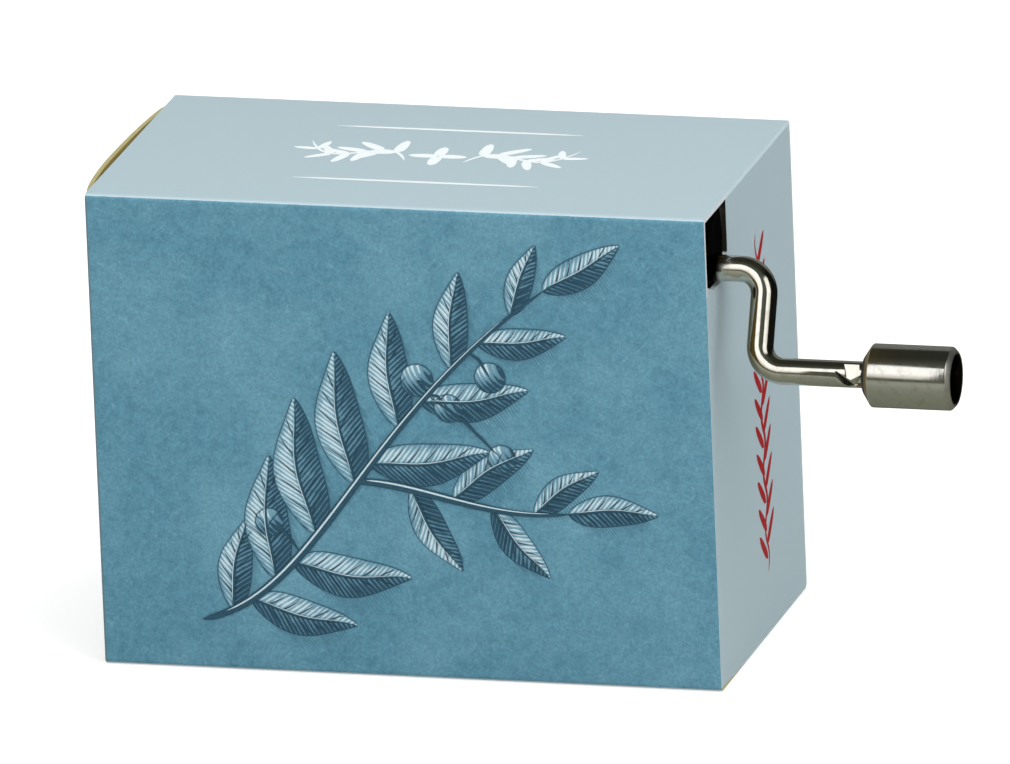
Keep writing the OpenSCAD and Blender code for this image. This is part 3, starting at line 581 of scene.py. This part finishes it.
class EndFlaps(bpy.types.Operator):
    """Print the two end flaps and the four dust flaps."""
    bl_idname = "musicbox.end_flaps"
    bl_label = "End flaps"

    def execute(self, context):
        board = board_materials()
        skin = 0.1 * MM
        for side, sign in (("right", 1), ("left", -1)):
            def outer_flap(middle, normal):
                by_notch = abs(middle.y - NOTCH_BACK) < skin and middle.z > NOTCH_LOW - skin
                # The back edge of the crank's opening gets painted shade
                if sign > 0 and normal.y < -0.7 and by_notch:
                    return SHADE_PAINTED
                if abs(normal.z) > 0.7:
                    return CUT
                if normal.x * sign > 0.3 or normal.y < -0.5 and sign < 0:
                    return PRINTED
                return CUT if abs(normal.y) > 0.7 and sign > 0 else RAW

            def dust_flap(middle, normal):
                if abs(normal.y) > 0.7:
                    return CUT
                return PRINTED if normal.x * sign > 0.3 else RAW

            flap = refined(side + "_end_flap")
            if sign < 0:
                self.draw_out(flap)
            paint(flap, *board, sort=outer_flap)
            for level in ("top", "bottom"):
                paint(refined(side + "_dust_flap_" + level), *board, sort=dust_flap)
        return {"FINISHED"}

    @staticmethod
    def draw_out(flap):
        """Draws the left flap's bulge out towards its crease, as stiff board bows between two folds."""
        board, fold = 0.4 * MM, 1 * MM
        height, peak, roundness = 0.955, 0.4, 0.45
        # The solid's own bow, which the drawn one takes the place of
        solid_lean, solid_roundness = 0.82, 0.85
        low, high = (Vector(corner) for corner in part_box("left_end_flap"))
        for vertex in flap.data.vertices:
            skin = LOW.x if vertex.normal.x < 0 else LOW.x + board
            out = skin - vertex.co.x
            share = (vertex.co.y - low.y - fold) / (high.y - low.y - fold)
            if out < MERGE or not 0.01 < share < 0.99:
                continue
            solid = math.sin(math.pi * share ** solid_lean) ** solid_roundness
            near = share / peak if share < peak else (1 - share) / (1 - peak)
            vertex.co.x = skin - out * height * math.sin(math.pi / 2 * near) ** roundness / solid


# Stands a print up on the crank end
UPRIGHT = Matrix(((0, 0, 1, 0), (1, 0, 0, 0), (0, 1, 0, 0), (0, 0, 0, 1)))
PANELS = {
    "front": Matrix.Translation((0, LOW.y, 0)) @ Matrix.Rotation(math.radians(90), 4, "X"),
    "top": Matrix.Translation((0, 0, HIGH.z)),
    "end": Matrix.Translation((HIGH.x, 0, 0)) @ UPRIGHT,
}


def press(piece, panel, ink):
    """Lays a print drawn flat at the origin on a panel of the carton."""
    settle(piece, PANELS[panel])
    paint(piece, ink)
    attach(piece, "carton")


def bezier(points, share):
    """The place and the direction on a cubic curve through four control points."""
    a, b, c, d = (Vector(p) for p in points)
    rest = 1 - share
    place = a * rest ** 3 + b * 3 * rest * rest * share + c * 3 * rest * share * share + d * share ** 3
    run = (b - a) * 3 * rest * rest + (c - b) * 6 * rest * share + (d - c) * 3 * share * share
    return place, run.normalized()


def strokes(name, panel, ink, lines, lift_mm, thick_mm=0.006):
    """Prints tapered pen strokes: each line is (points in mm, width at the start, width at the end)."""
    piece = begin(name, bpy.ops.curve.primitive_bezier_curve_add)
    drawn = piece.data
    drawn.splines.clear()
    drawn.dimensions = "3D"
    drawn.bevel_depth = 0.5 * MM
    drawn.bevel_resolution = 0
    drawn.use_fill_caps = True
    for points, start, end in lines:
        spline = drawn.splines.new("POLY")
        last = len(points) - 1
        spline.points.add(last)
        for i, (x, y) in enumerate(points):
            share = i / last
            swell = max(math.sin(math.pi * share), 0.0) ** 0.35
            spline.points[i].co = (x * MM, y * MM, 0, 1)
            spline.points[i].radius = (start + (end - start) * share) * (0.15 + 0.85 * swell)
    bpy.ops.object.convert(target="MESH")
    piece = bpy.context.view_layer.objects.active
    tallest = max(vertex.co.z for vertex in piece.data.vertices)
    with editing(piece):
        bpy.ops.mesh.remove_doubles(threshold=MERGE)
        bpy.ops.transform.resize(value=(1, 1, thick_mm / 2 * MM / tallest), center_override=(0, 0, 0))
        bpy.ops.transform.translate(value=(0, 0, lift_mm * MM))
    bpy.ops.object.shade_flat()
    press(piece, panel, ink)


LEAF_ROWS = 28
LEAF_COLUMNS = 10
LEAF_LENGTH = 10.0
# What each point of a film holds: its tone, its count of hatch lines and its distance to the rim
FILM_VALUES = ("tone", "hatch", "rim")
# Films lie over each other, a layer apart: leaves, then berries, pen lines and white lines. In mm
LEAF_LIFT, BERRY_LIFT, PEN_LIFT, WHITE_LIFT, LAYER = 0.01, 0.016, 0.02, 0.03, 0.004
# The sprig on the front. A leaf has its share of the stem, side, length in mm, spread in degrees and bend
Leaf = namedtuple("Leaf", "foot turn size bend")
STEM = ((-18.5, 4.5), (-8.0, 7.0), (-4.0, 23.0), (13.0, 35.5))
TWIG = ((-4.6, 17.6), (1.0, 18.0), (7.0, 14.5), (14.5, 15.5))
STEM_LEAVES = (
    (0.09, 1, 8.6, 52, 0.05), (0.15, -1, 9.6, 46, -0.05), (0.24, 1, 11.2, 48, 0.05),
    (0.30, -1, 10.6, 52, -0.06), (0.39, 1, 12.4, 46, 0.06), (0.53, 1, 12.0, 44, 0.05),
    (0.58, -1, 10.8, 44, -0.05), (0.67, 1, 10.4, 42, 0.05), (0.73, -1, 9.8, 40, -0.05),
    (0.81, 1, 8.8, 38, 0.04), (0.87, -1, 8.0, 36, -0.04), (0.94, 1, 6.8, 30, 0.03),
    (1.0, -1, 8.2, 4, -0.03))
TWIG_LEAVES = (
    (0.30, -1, 8.4, 48, -0.05), (0.50, 1, 8.8, 46, 0.05), (0.68, -1, 7.8, 42, -0.05),
    (0.86, 1, 7.2, 36, 0.05), (1.0, -1, 8.0, 6, 0.04))
# A berry has its place and its radius in mm
BERRIES = ((1.5, 27.0, 1.5), (4.2, 24.6, 1.3), (8.0, 27.5, 1.4), (-12.2, 13.6, 1.3), (8.8, 20.2, 1.3))
LIGHT_FROM = Vector((-0.55, 0.83))


def leaf_half_width(share):
    """Half a leaf's width at a share of its length, in leaf lengths: pointed, widest below the middle."""
    return 0.012 + 0.17 * math.sin(math.pi * share ** 0.78) ** 0.85


def leaf_axes(turn):
    """A leaf's direction, the direction across it, and 1 or -1 for the side of it that is lit."""
    along = Vector((math.cos(turn), math.sin(turn)))
    across = Vector((-along.y, along.x))
    return along, across, 1 if across.dot(LIGHT_FROM) > 0 else -1


def on_leaf(leaf, share, out):
    """The place at a share of a leaf's length and a distance from its midrib, both in leaf lengths."""
    along, across = leaf_axes(leaf.turn)[:2]
    lift = leaf.bend * math.sin(math.pi * share) ** 2 + out
    return leaf.foot + (along * share + across * lift) * leaf.size


def leaf_blank(bend):
    """One leaf, ten millimetres long, from a grid whose rows are drawn in to the leaf's width and bent."""
    long = LEAF_LENGTH * MM
    piece = begin(
        "leaf_blank", bpy.ops.mesh.primitive_grid_add, x_subdivisions=LEAF_ROWS, y_subdivisions=LEAF_COLUMNS,
        size=long, location=(long / 2, 0, 0))
    bpy.ops.object.transform_apply()
    with editing(piece):
        for row in range(LEAF_ROWS + 1):
            share = row / LEAF_ROWS
            edit = bmesh.from_edit_mesh(piece.data)
            bpy.ops.mesh.select_all(action="DESELECT")
            for vertex in edit.verts:
                if abs(vertex.co.x / long - share) < 0.4 / LEAF_ROWS:
                    vertex.select = True
            edit.select_flush(True)
            bmesh.update_edit_mesh(piece.data)
            bpy.ops.transform.resize(value=(1, 2 * leaf_half_width(share), 1), center_override=(0, 0, 0))
    for name in FILM_VALUES:
        piece.data.attributes.new(name, "FLOAT", "POINT")
    for vertex in piece.data.vertices:
        vertex.co.y += bend * long * math.sin(math.pi * vertex.co.x / long) ** 2
    apply_modifier(piece, "SOLIDIFY", thickness=0.003 * MM, offset=-1.0)
    return piece


def leaf_film(blank, leaf, layer):
    """One leaf of the sprig, from its blank: shaded first, then laid at its place."""
    piece = copy_of(blank, "leaf")
    scale = leaf.size / LEAF_LENGTH
    pitch = bpy.context.scene.print_looks.pitch * PER_MM
    lit = leaf_axes(leaf.turn)[2]
    tone, hatch, rim = (piece.data.attributes[name].data for name in FILM_VALUES)
    row = LEAF_ROWS + 1
    for i in range(len(piece.data.vertices)):
        share = (i % row) / LEAF_ROWS
        out = 2 * (i // row % (LEAF_COLUMNS + 1)) / LEAF_COLUMNS - 1
        half = leaf_half_width(share) * LEAF_LENGTH * scale
        facing = out * lit
        if facing > 0:
            level = 0.56 + 0.4 * math.sin(math.pi * facing ** 0.8)
        else:
            level = 0.4 - 0.3 * abs(facing) ** 0.6
        tone[i].value = level + 0.1 * math.sin(7 * share + 3 * leaf.turn) - 0.22 * (1 - share) ** 3
        hatch[i].value = 2 * (share * LEAF_LENGTH * scale - 0.9 * abs(out) * half) / pitch
        rim[i].value = (1 - abs(out)) * half
    settle(piece, Matrix.Translation((*leaf.foot * MM, (LEAF_LIFT + LAYER * layer) * MM))
           @ Matrix.Rotation(leaf.turn, 4, "Z") @ Matrix.Scale(scale, 4))
    return piece


def berry(place, size, layer):
    """A round berry, a sphere shaded by hatching and pressed flat."""
    piece = begin(
        "berry", bpy.ops.mesh.primitive_uv_sphere_add, segments=32, ring_count=16, radius=size * MM)
    pitch = bpy.context.scene.print_looks.pitch * PER_MM
    light = Vector((*LIGHT_FROM, 0.75)).normalized()
    for name in FILM_VALUES:
        piece.data.attributes.new(name, "FLOAT", "POINT")
    tone, hatch, rim = (piece.data.attributes[name].data for name in FILM_VALUES)
    for i, vertex in enumerate(piece.data.vertices):
        out = vertex.co / (size * MM)
        out.z = abs(out.z)
        tone[i].value = 0.12 + 0.78 * max(out.dot(light), 0) ** 1.4
        hatch[i].value = 2 * size * (out.x * 0.8 + out.y * 0.6 + 0.35 * out.z) / pitch
        rim[i].value = size * (1 - math.hypot(out.x, out.y))
    with editing(piece):
        bpy.ops.transform.resize(value=(1, 1, LAYER / size), center_override=(0, 0, 0))
        bpy.ops.transform.translate(value=(*place * MM, (BERRY_LIFT + LAYER * layer) * MM))
    return piece


def midrib(leaf, offset_mm, start, end, thick, thin):
    """A stroke along a leaf's middle, offset to its lit side."""
    out = leaf_axes(leaf.turn)[2] * offset_mm / leaf.size
    steps = 16
    return [on_leaf(leaf, start + (end - start) * i / steps, out) for i in range(steps + 1)], thick, thin


def veins(leaf):
    """The midrib and five veins on each side of a leaf."""
    lines = [midrib(leaf, 0.0, 0.0, 0.97, 0.3, 0.08)]
    steps = 5
    for i in range(5):
        for side in (1, -1):
            points = []
            for step in range(steps + 1):
                out = step / steps
                share = 0.14 + 0.14 * i + 0.17 * out ** 0.8
                points.append(on_leaf(leaf, share, side * leaf_half_width(share) * 0.86 * out))
            lines.append((points, 0.15, 0.05))
    return lines


def cast_shade(leaf):
    """Slanted strokes beside the shaded rim of a leaf, longest at its middle."""
    dark = -leaf_axes(leaf.turn)[2]
    count = int(leaf.size * 3)
    lines = []
    for i in range(count):
        share = 0.12 + 0.78 * i / count
        rim = on_leaf(leaf, share, dark * leaf_half_width(share) * 0.8)
        reach = 0.4 + leaf.size * 0.2 * math.sin(math.pi * share) * (0.75 + 0.25 * math.sin(5.1 * i))
        lines.append(([rim - LIGHT_FROM * reach * step / 4 for step in range(5)], 0.1, 0.03))
    return lines


def beside(stem, offset_mm):
    """Points along a stem, offset to its lit side."""
    points = []
    for i in range(3, 38):
        place, run = bezier(stem, i / 40)
        points.append(place + Vector((-run.y, run.x)) * offset_mm)
    return points


class FrontPrint(bpy.types.Operator):
    """Print a leafy sprig with berries on the blue front, in pen, wash and white."""
    bl_idname = "musicbox.front_print"
    bl_label = "Front print"

    def execute(self, context):
        looks = context.scene.print_looks
        blanks, films = {}, []
        ink, white, shade = [], [], []
        for stem, rows in ((TWIG, TWIG_LEAVES), (STEM, STEM_LEAVES)):
            for share, side, size, spread, bend in rows:
                foot, run = bezier(stem, share)
                leaf = Leaf(foot, math.atan2(run.y, run.x) + side * math.radians(spread), size, bend)
                if bend not in blanks:
                    blanks[bend] = leaf_blank(bend)
                films.append(leaf_film(blanks[bend], leaf, len(films)))
                ink += veins(leaf)
                white.append(midrib(leaf, 0.16, 0.1, 0.92, 0.09, 0.04))
                shade += cast_shade(leaf)
            ink.append(([bezier(stem, i / 40)[0] for i in range(41)], 1.0, 0.45))
            white.append((beside(stem, 0.14), 0.22, 0.1))
        for blank in blanks.values():
            bpy.data.objects.remove(blank)
        for x, y, size in BERRIES:
            tip = Vector((x, y))
            films.append(berry(tip, size, len(films)))
            foot = min((bezier(STEM, i / 60)[0] for i in range(61)), key=lambda place: (place - tip).length)
            sag = (foot + tip) / 2 + Vector((0, 0.5))
            ink.append(([foot, (foot + sag) / 2, sag, (sag + tip) / 2, tip], 0.3, 0.25))
        pick(*films)
        bpy.ops.object.join()
        films[0].name = "printed_leaves"
        press(films[0], "front", leaf_print())
        pile = LAYER * len(films)
        for name, finish, over, thin, lines, lift, thick in (
                ("printed_shade_lines", "offset_shade_ink", looks.wash_dark, looks.ink, shade, LAYER, 0.003),
                ("printed_pen_lines", "offset_pen_ink", looks.ink, looks.wash_dark, ink,
                 PEN_LIFT + pile, 0.006),
                ("printed_white_lines", "offset_body_white", looks.white, looks.wash_light, white,
                 WHITE_LIFT + pile, 0.006)):
            strokes(name, "front", flat_ink(finish, over, thin), lines, lift, thick)
        return {"FINISHED"}


# Lift of the ornaments' ink off the board, in mm
ORNAMENT_LIFT = 0.012


def small_leaf(foot, turn, size, fat=0.5):
    """A plain printed leaf: one thick stroke."""
    run = leaf_axes(turn)[0]
    return [foot + run * size * i / 8 for i in range(9)], size * fat, size * fat * 0.7


class TopOrnament(bpy.types.Operator):
    """Print the white ornament on the top: two sprays on either side of a lozenge, between two rules."""
    bl_idname = "musicbox.top_ornament"
    bl_label = "Top ornament"

    def execute(self, context):
        white = context.scene.print_looks.top_white
        lines = []
        for side in (1, -1):
            spray = ((2.6 * side, -1.5), (5.5 * side, 6.0), (8.5 * side, -6.0), (12.0 * side, 3.0))
            lines.append(([bezier(spray, i / 24)[0] for i in range(25)], 0.5, 0.36))
            for i in range(6):
                foot, run = bezier(spray, 0.14 + 0.15 * i)
                for turn in (48, -48):
                    heading = math.atan2(run.y, run.x) + math.radians(turn)
                    lines.append(small_leaf(foot, heading, 3.4 - 0.22 * i, 0.36))
            lines.append(([Vector((-11 + 22 * i / 12, 7.5 * side)) for i in range(13)], 0.5, 0.5))
        for turn in range(0, 360, 90):
            heading = math.radians(turn)
            lines.append(small_leaf(leaf_axes(heading)[0] * 0.1, heading, 2.5))
        strokes("top_ornament", "top", flat_ink("offset_top_white", white, white), lines, ORNAMENT_LIFT)
        return {"FINISHED"}


class EndOrnament(bpy.types.Operator):
    """Print the red vine down the crank end."""
    bl_idname = "musicbox.end_ornament"
    bl_label = "End ornament"

    def execute(self, context):
        red = context.scene.print_looks.red
        middle, low, high = 2.2, 5.5, 36.0
        leaves, steps = 22, 60
        stem = [Vector((middle + 0.5 * math.sin(i * 0.62), low + (high - low) * i / steps))
                for i in range(steps + 1)]
        lines = [(stem, 0.55, 0.55)]
        for i in range(leaves):
            foot = Vector((middle, low + 1.2 + (high - low - 4.2) * i / (leaves - 1)))
            side = 1 if i % 2 else -1
            lines.append(small_leaf(foot, math.radians(90 - 44 * side), 3.6, 0.27))
        strokes("end_ornament", "end", flat_ink("offset_end_red", red, red), lines, ORNAMENT_LIFT)
        return {"FINISHED"}


def cut_off(piece, x, keep_left):
    """Saws a piece through at x and keeps one closed part of it."""
    with editing(piece):
        bpy.ops.mesh.bisect(plane_co=(x, 0, 0), plane_no=(1, 0, 0), use_fill=True,
                            clear_outer=keep_left, clear_inner=not keep_left)


class CrankRod(bpy.types.Operator):
    """Draw and plate the bent crank wire, crimped where it holds the knob."""
    bl_idname = "musicbox.crank_rod"
    bl_label = "Crank rod"

    # Each jaw has an edge angle, 0 for a flat one and 45 for a wedge, its turn round the wire, its slant and
    # its bite in mm, then its width and its middle's distance from the knob, as shares of the crimp
    JAWS = ((0, 29, 14, 0.22, 0.76, 0.54), (45, -8, -42, 0.46, 0.7, 0.16), (45, -16, 48, 0.36, 0.5, 0.86),
            (45, 160, 24, 0.36, 0.8, 0.5), (0, 209, -14, 0.22, 0.76, 0.54))

    def execute(self, context):
        sizes = context.scene.crank_sizes
        axis = (Vector(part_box("worm")[0]) + Vector(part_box("worm")[1])) / 2
        knob_low, knob_high = (Vector(corner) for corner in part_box("knob_sleeve"))
        handle = (knob_low + knob_high) / 2
        start = HIGH.x + 0.6 * MM
        nickel = nickel_wire()
        piece = refined("crank_rod", angle=50)
        # The end inside the carton and the riveted end stay as the solid has them
        rivet = copy_of(piece, "rivet")
        for tag in [key for key in rivet.keys() if key.startswith("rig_")]:
            del rivet[tag]
        world = rivet.matrix_world.copy()
        rivet.parent = None
        rivet.matrix_world = world
        cut_off(rivet, knob_low.x, False)
        cut_off(piece, start, True)
        wire = self.wire(start, knob_low.x, math.hypot(axis.y - handle.y, axis.z - handle.z), sizes)
        swing = math.atan2(axis.y - handle.y, axis.z - handle.z)
        settle(wire, Matrix.Translation((0, axis.y, axis.z)) @ Matrix.Rotation(-swing, 4, "X"))
        self.crimp(wire, Vector((knob_low.x, handle.y, handle.z)), sizes)
        pick(piece, rivet, wire)
        bpy.ops.object.join()
        smooth(piece, 18)
        # A brown reflection is painted on the side of the arm that faces the carton
        brown_reflection = piece.data.attributes.new("brown_reflection", "FLOAT", "POINT")
        for vertex, normal in zip(piece.data.vertices, piece.data.vertex_normals):
            unpainted = vertex.co.x < start + sizes.wire / 4 or vertex.co.x > knob_low.x - sizes.crimp
            share = 0 if unpainted else (-normal.vector.x - 0.35) / 0.35
            brown_reflection.data[vertex.index].value = min(max(share, 0), 1) * 0.9
        paint(piece, nickel)
        paint(refined("shaft_clip", 0.05), nickel)
        return {"FINISHED"}

    @classmethod
    def crimp(cls, wire, tip, sizes):
        """Presses jaws into the wire: a flat one leaves one facet and a wedge leaves two."""
        for edge, turn, slant, bite, width, back in cls.JAWS:
            jaw = begin("jaw", bpy.ops.mesh.primitive_cube_add, size=MM, rotation=(0, math.radians(edge), 0))
            bpy.ops.object.transform_apply()
            # A wedge has its width where it meets the wire's skin
            reach = math.sqrt(0.5) if edge else 0.5
            spread = width * sizes.crimp * PER_MM / (2 * bite if edge else 1)
            jaw.scale = (spread, 2 * sizes.wire * PER_MM, 1)
            bpy.ops.object.transform_apply()
            jaw.matrix_world = (
                Matrix.Translation(tip - Vector((back * sizes.crimp, 0, 0)))
                @ Matrix.Rotation(math.radians(90 - turn), 4, "X")
                @ Matrix.Translation((0, 0, sizes.wire / 2 + (reach - bite) * MM))
                @ Matrix.Rotation(math.radians(slant), 4, "Z"))
            apply_modifier(wire, "BOOLEAN", object=jaw, operation="DIFFERENCE", solver="EXACT")
            bpy.data.objects.remove(jaw)

    @staticmethod
    def wire(start, end, throw, sizes):
        """The wire outside the carton, in its own plane: a circle drawn straight and spun round bends."""
        bend = sizes.bend
        arm = HIGH.x + sizes.arm_out
        quarter = math.radians(90)
        # The wire's last stretch, which the jaws press, is drawn by itself
        pressed = 1.4 * sizes.crimp
        piece = begin(
            "wire", bpy.ops.mesh.primitive_circle_add, vertices=72, radius=sizes.wire / 2, fill_type="NGON",
            location=(start, 0, 0), rotation=(0, quarter, 0))
        bpy.ops.object.transform_apply()

        def draw(x, z):
            bpy.ops.mesh.extrude_region_move(TRANSFORM_OT_translate={"value": (x, 0, z)})

        with editing(piece):
            draw(arm - bend - start, 0)
            bpy.ops.mesh.spin(steps=24, angle=-quarter, center=(arm - bend, 0, -bend), axis=(0, 1, 0))
            draw(0, 2 * bend - throw)
            bpy.ops.mesh.spin(steps=24, angle=quarter, center=(arm + bend, 0, bend - throw), axis=(0, 1, 0))
            draw(end - arm - bend - pressed, 0)
            draw(pressed, 0)
            bpy.ops.mesh.select_all(action="SELECT")
            bpy.ops.mesh.normals_make_consistent(inside=False)
        return piece


class KnobSleeve(bpy.types.Operator):
    """Finish the turned knob."""
    bl_idname = "musicbox.knob_sleeve"
    bl_label = "Knob"

    def execute(self, context):
        paint(refined("knob_sleeve", 0.08, angle=30), turned_knob())
        return {"FINISHED"}


class MovementFrame(bpy.types.Operator):
    """Finish the cast base, the bracket, the comb, its weights and screws, and the tape."""
    bl_idname = "musicbox.movement_frame"
    bl_label = "Movement frame"

    def execute(self, context):
        looks = context.scene.metal_looks
        zinc = metal("die_cast_zinc", looks.zinc, linear("858683"), 0.42, 0.1, 0.5, 0.02)
        spring = metal(
            "ground_spring_steel", looks.spring, linear("8f9193"), 0.28, 0.08, 1.2, 0.008, (5, 0.4, 5))
        lead = metal("cast_lead", looks.lead, linear("55575b"), 0.6, 0.1, 0.6, 0.03)
        screw = metal("zinc_plated_screw", looks.nickel, linear("a9a79c"), 0.25, 0.06, 0.6, 0.006)
        foam = moulded("white_foam_tape", looks.foam, linear("c6c6bf"), 0.9, 0.3, 0.04)
        for node, finish, bevel in (
                ("base_plate", zinc, 0.12), ("bearing_bracket", zinc, 0.08), ("comb", spring, 0.0),
                ("bass_weights", lead, 0.1), ("comb_screws", screw, 0.08), ("bracket_screws", screw, 0.08),
                ("tape_strips", foam, 0.05)):
            paint(refined(node, bevel), finish)
        return {"FINISHED"}


class CylinderDrive(bpy.types.Operator):
    """Finish the pinned cylinder, its caps and arbor, the worm wheel and the worm."""
    bl_idname = "musicbox.cylinder_drive"
    bl_label = "Cylinder drive"

    def execute(self, context):
        looks = context.scene.metal_looks
        brass = metal("drawn_brass", looks.brass, linear("9a7c40"), 0.25, 0.07, 1.5, 0.008, (0.4, 0.4, 4))
        steel = metal("bright_steel_rod", looks.steel, linear("a3a196"), 0.18, 0.05, 0.8, 0.004)
        nylon = moulded("moulded_nylon", looks.nylon, linear("d8d3c0"), 0.45, 0.6, 0.01)
        finishes = {"brass": brass, "nylon": nylon}
        for node, bevel in (("cylinder_drum", 0.0), ("drum_cap_lower", 0.06), ("drum_cap_upper", 0.06),
                            ("cylinder_arbor", 0.05), ("worm_wheel", 0.0), ("worm", 0.0)):
            paint(refined(node, bevel), finishes.get(SLOTS[node], steel))
        return {"FINISHED"}


# Radius of the cloth tent that the metal shows
TENT_R = 1.6
# The floor's width, how far it lies below the part, and the glow that keeps it white in the view
FLOOR_SIZE, FLOOR_DROP, FLOOR_GLOW = 6, 0.02 * MM, 0.42
# The camera, fitted to the carton's corners in a frame of 1010 by 764 pixels
CAMERA_PLACE = (0.67123, -2.37674, 0.80489)
CAMERA_TURN = (72.3954, 2.2095, 14.9538)
CAMERA_LENS = 1069.307
CAMERA_SENSOR = 36.0


def rays_that_see(node):
    """1 for camera, glossy and transmission rays, and 0 for the rest."""
    rays = node("LightPath").outputs
    seen = node("Math.MAXIMUM", rays["Is Camera Ray"], rays["Is Glossy Ray"])
    return node("Math.MAXIMUM", seen, rays["Is Transmission Ray"])


def seen_in_metal_only(piece, name, shade, tints=(), strength=1.0):
    """Makes a stage surface that only reflections show. A tint is (axis, start, full place, shade)."""
    made = bpy.data.materials.new(name)
    made.use_nodes = True
    made.node_tree.nodes.clear()
    node = partial(add, made.node_tree)
    place = node("SeparateXYZ", node("TexCoord").outputs["Object"]).outputs
    for axis, start, full, tint in tints:
        shade = node("Mix", node("MapRange", place[axis], start, full), shade, tint)
    node("OutputMaterial", node("Emission", shade, strength))
    piece.data.materials.append(made)
    for rays in ("camera", "diffuse", "transmission", "volume_scatter", "shadow"):
        setattr(piece, "visible_" + rays, False)


def softbox(name, azimuth, elevation, size, power, away=0.9, shown=None):
    """An area light that faces the object, with a face of its own size for the metal to show."""
    looks = bpy.context.scene.stage_looks
    turn, rise = math.radians(azimuth), math.radians(elevation)
    toward = Vector((math.sin(turn) * math.cos(rise), -math.cos(turn) * math.cos(rise), math.sin(rise)))
    lamp = begin(name, bpy.ops.object.light_add, type="AREA", location=toward * away)
    lamp.rotation_euler = toward.to_track_quat("Z", "Y").to_euler()
    lamp.data.shape = "RECTANGLE"
    lamp.data.size, lamp.data.size_y = size
    lamp.data.energy = power
    lamp.visible_camera = False
    lamp.visible_glossy = False
    if shown:
        face = begin(name + "_face", bpy.ops.mesh.primitive_plane_add, size=1, location=lamp.location,
                     rotation=lamp.rotation_euler)
        face.scale = (*shown, 1)
        seen_in_metal_only(face, name + "_glow", (1, 1, 1), ((1, -0.1, -0.5, looks.box_edge),), looks.shine)


class Stage(bpy.types.Operator):
    """Set up the floor, the softboxes, the dark cloth, the world and the camera."""
    bl_idname = "musicbox.stage"
    bl_label = "Stage"

    def execute(self, context):
        scene = context.scene
        looks = scene.stage_looks
        floor = begin(
            "floor", bpy.ops.mesh.primitive_plane_add, size=FLOOR_SIZE, location=(0, 0, -FLOOR_DROP))
        made, shader, node = material("pale_studio_floor", Roughness=0.9, Specular_IOR_Level=0.0)[:3]
        fill(shader, Base_Color=looks.floor, Emission_Color=(1, 1, 1),
             Emission_Strength=node("Math.MULTIPLY", rays_that_see(node), FLOOR_GLOW))
        floor.data.materials.append(made)
        tent = begin(
            "dark_tent", bpy.ops.mesh.primitive_uv_sphere_add, segments=32, ring_count=16, radius=TENT_R)
        seen_in_metal_only(tent, "dark_cloth", looks.tent, [
            (axis, start * TENT_R, full * TENT_R, shade) for axis, start, full, shade in (
                (1, -0.06, -0.6, looks.tent_front), (1, 0.62, 0.72, looks.tent_back),
                (0, -0.3, -0.6, looks.tent_left), (0, 0.4, 0.6, looks.tent_right))])
        card = begin("floor_card", bpy.ops.mesh.primitive_plane_add, size=2 * TENT_R,
                     location=(0, 0, -FLOOR_DROP / 2))
        seen_in_metal_only(card, "grey_card", looks.card, (
            (1, -0.13, 0.0, looks.card_near), (1, 0.0, 0.05, looks.card_back)))
        softbox("key_softbox", -19, 32, (1.3, 0.7), looks.key, shown=(0.52, 0.7))
        softbox("side_softbox", 62, 32, (0.7, 0.7), looks.side, shown=(0.5, 0.7))
        softbox("top_light", 0, 90, (0.8, 0.8), looks.top, 0.8)
        scene.world = bpy.data.worlds.new("studio")
        scene.world.use_nodes = True
        node = partial(add, scene.world.node_tree)
        fill(scene.world.node_tree.nodes["Background"], Color=(1, 1, 1),
             Strength=node("MapRange", rays_that_see(node), 0.0, 1.0, looks.ambient, 1.0))
        camera = begin("camera", bpy.ops.object.camera_add, location=CAMERA_PLACE,
                       rotation=[math.radians(turn) for turn in CAMERA_TURN])
        camera.data.lens = CAMERA_LENS
        camera.data.sensor_width = CAMERA_SENSOR
        camera.data.sensor_fit = "HORIZONTAL"
        camera.data.clip_start = 0.1
        camera.data.clip_end = 10.0
        scene.camera = camera
        scene.view_settings.view_transform = "Standard"
        return {"FINISHED"}


OPERATORS = (
    Stage, CartonSleeve, EndFlaps, FrontPrint, TopOrnament, EndOrnament, CrankRod, KnobSleeve, MovementFrame,
    CylinderDrive)
LOOKS = {
    "carton_looks": CartonLooks, "print_looks": PrintLooks, "metal_looks": MetalLooks,
    "crank_sizes": CrankSizes, "stage_looks": StageLooks}


class MusicBoxPanel(bpy.types.Panel):
    """Sizes, colours and steps of the music box."""
    bl_idname = "VIEW3D_PT_music_box"
    bl_label = "Music box"
    bl_space_type = "VIEW_3D"
    bl_region_type = "UI"
    bl_category = "Music box"

    def draw(self, context):
        for name, looks in LOOKS.items():
            box = self.layout.box()
            for key in looks.__annotations__:
                box.prop(getattr(context.scene, name), key)
        for step in OPERATORS:
            self.layout.operator(step.bl_idname)


def register():
    for kind in (*LOOKS.values(), *OPERATORS, MusicBoxPanel):
        bpy.utils.register_class(kind)
    for name, kind in LOOKS.items():
        setattr(bpy.types.Scene, name, PointerProperty(type=kind))


def unregister():
    for name in LOOKS:
        delattr(bpy.types.Scene, name)
    for kind in reversed((*LOOKS.values(), *OPERATORS, MusicBoxPanel)):
        bpy.utils.unregister_class(kind)


def main():
    register()
    for step in OPERATORS:
        group, name = step.bl_idname.split(".")
        getattr(getattr(bpy.ops, group), name)()


if __name__ == "__main__":
    main()
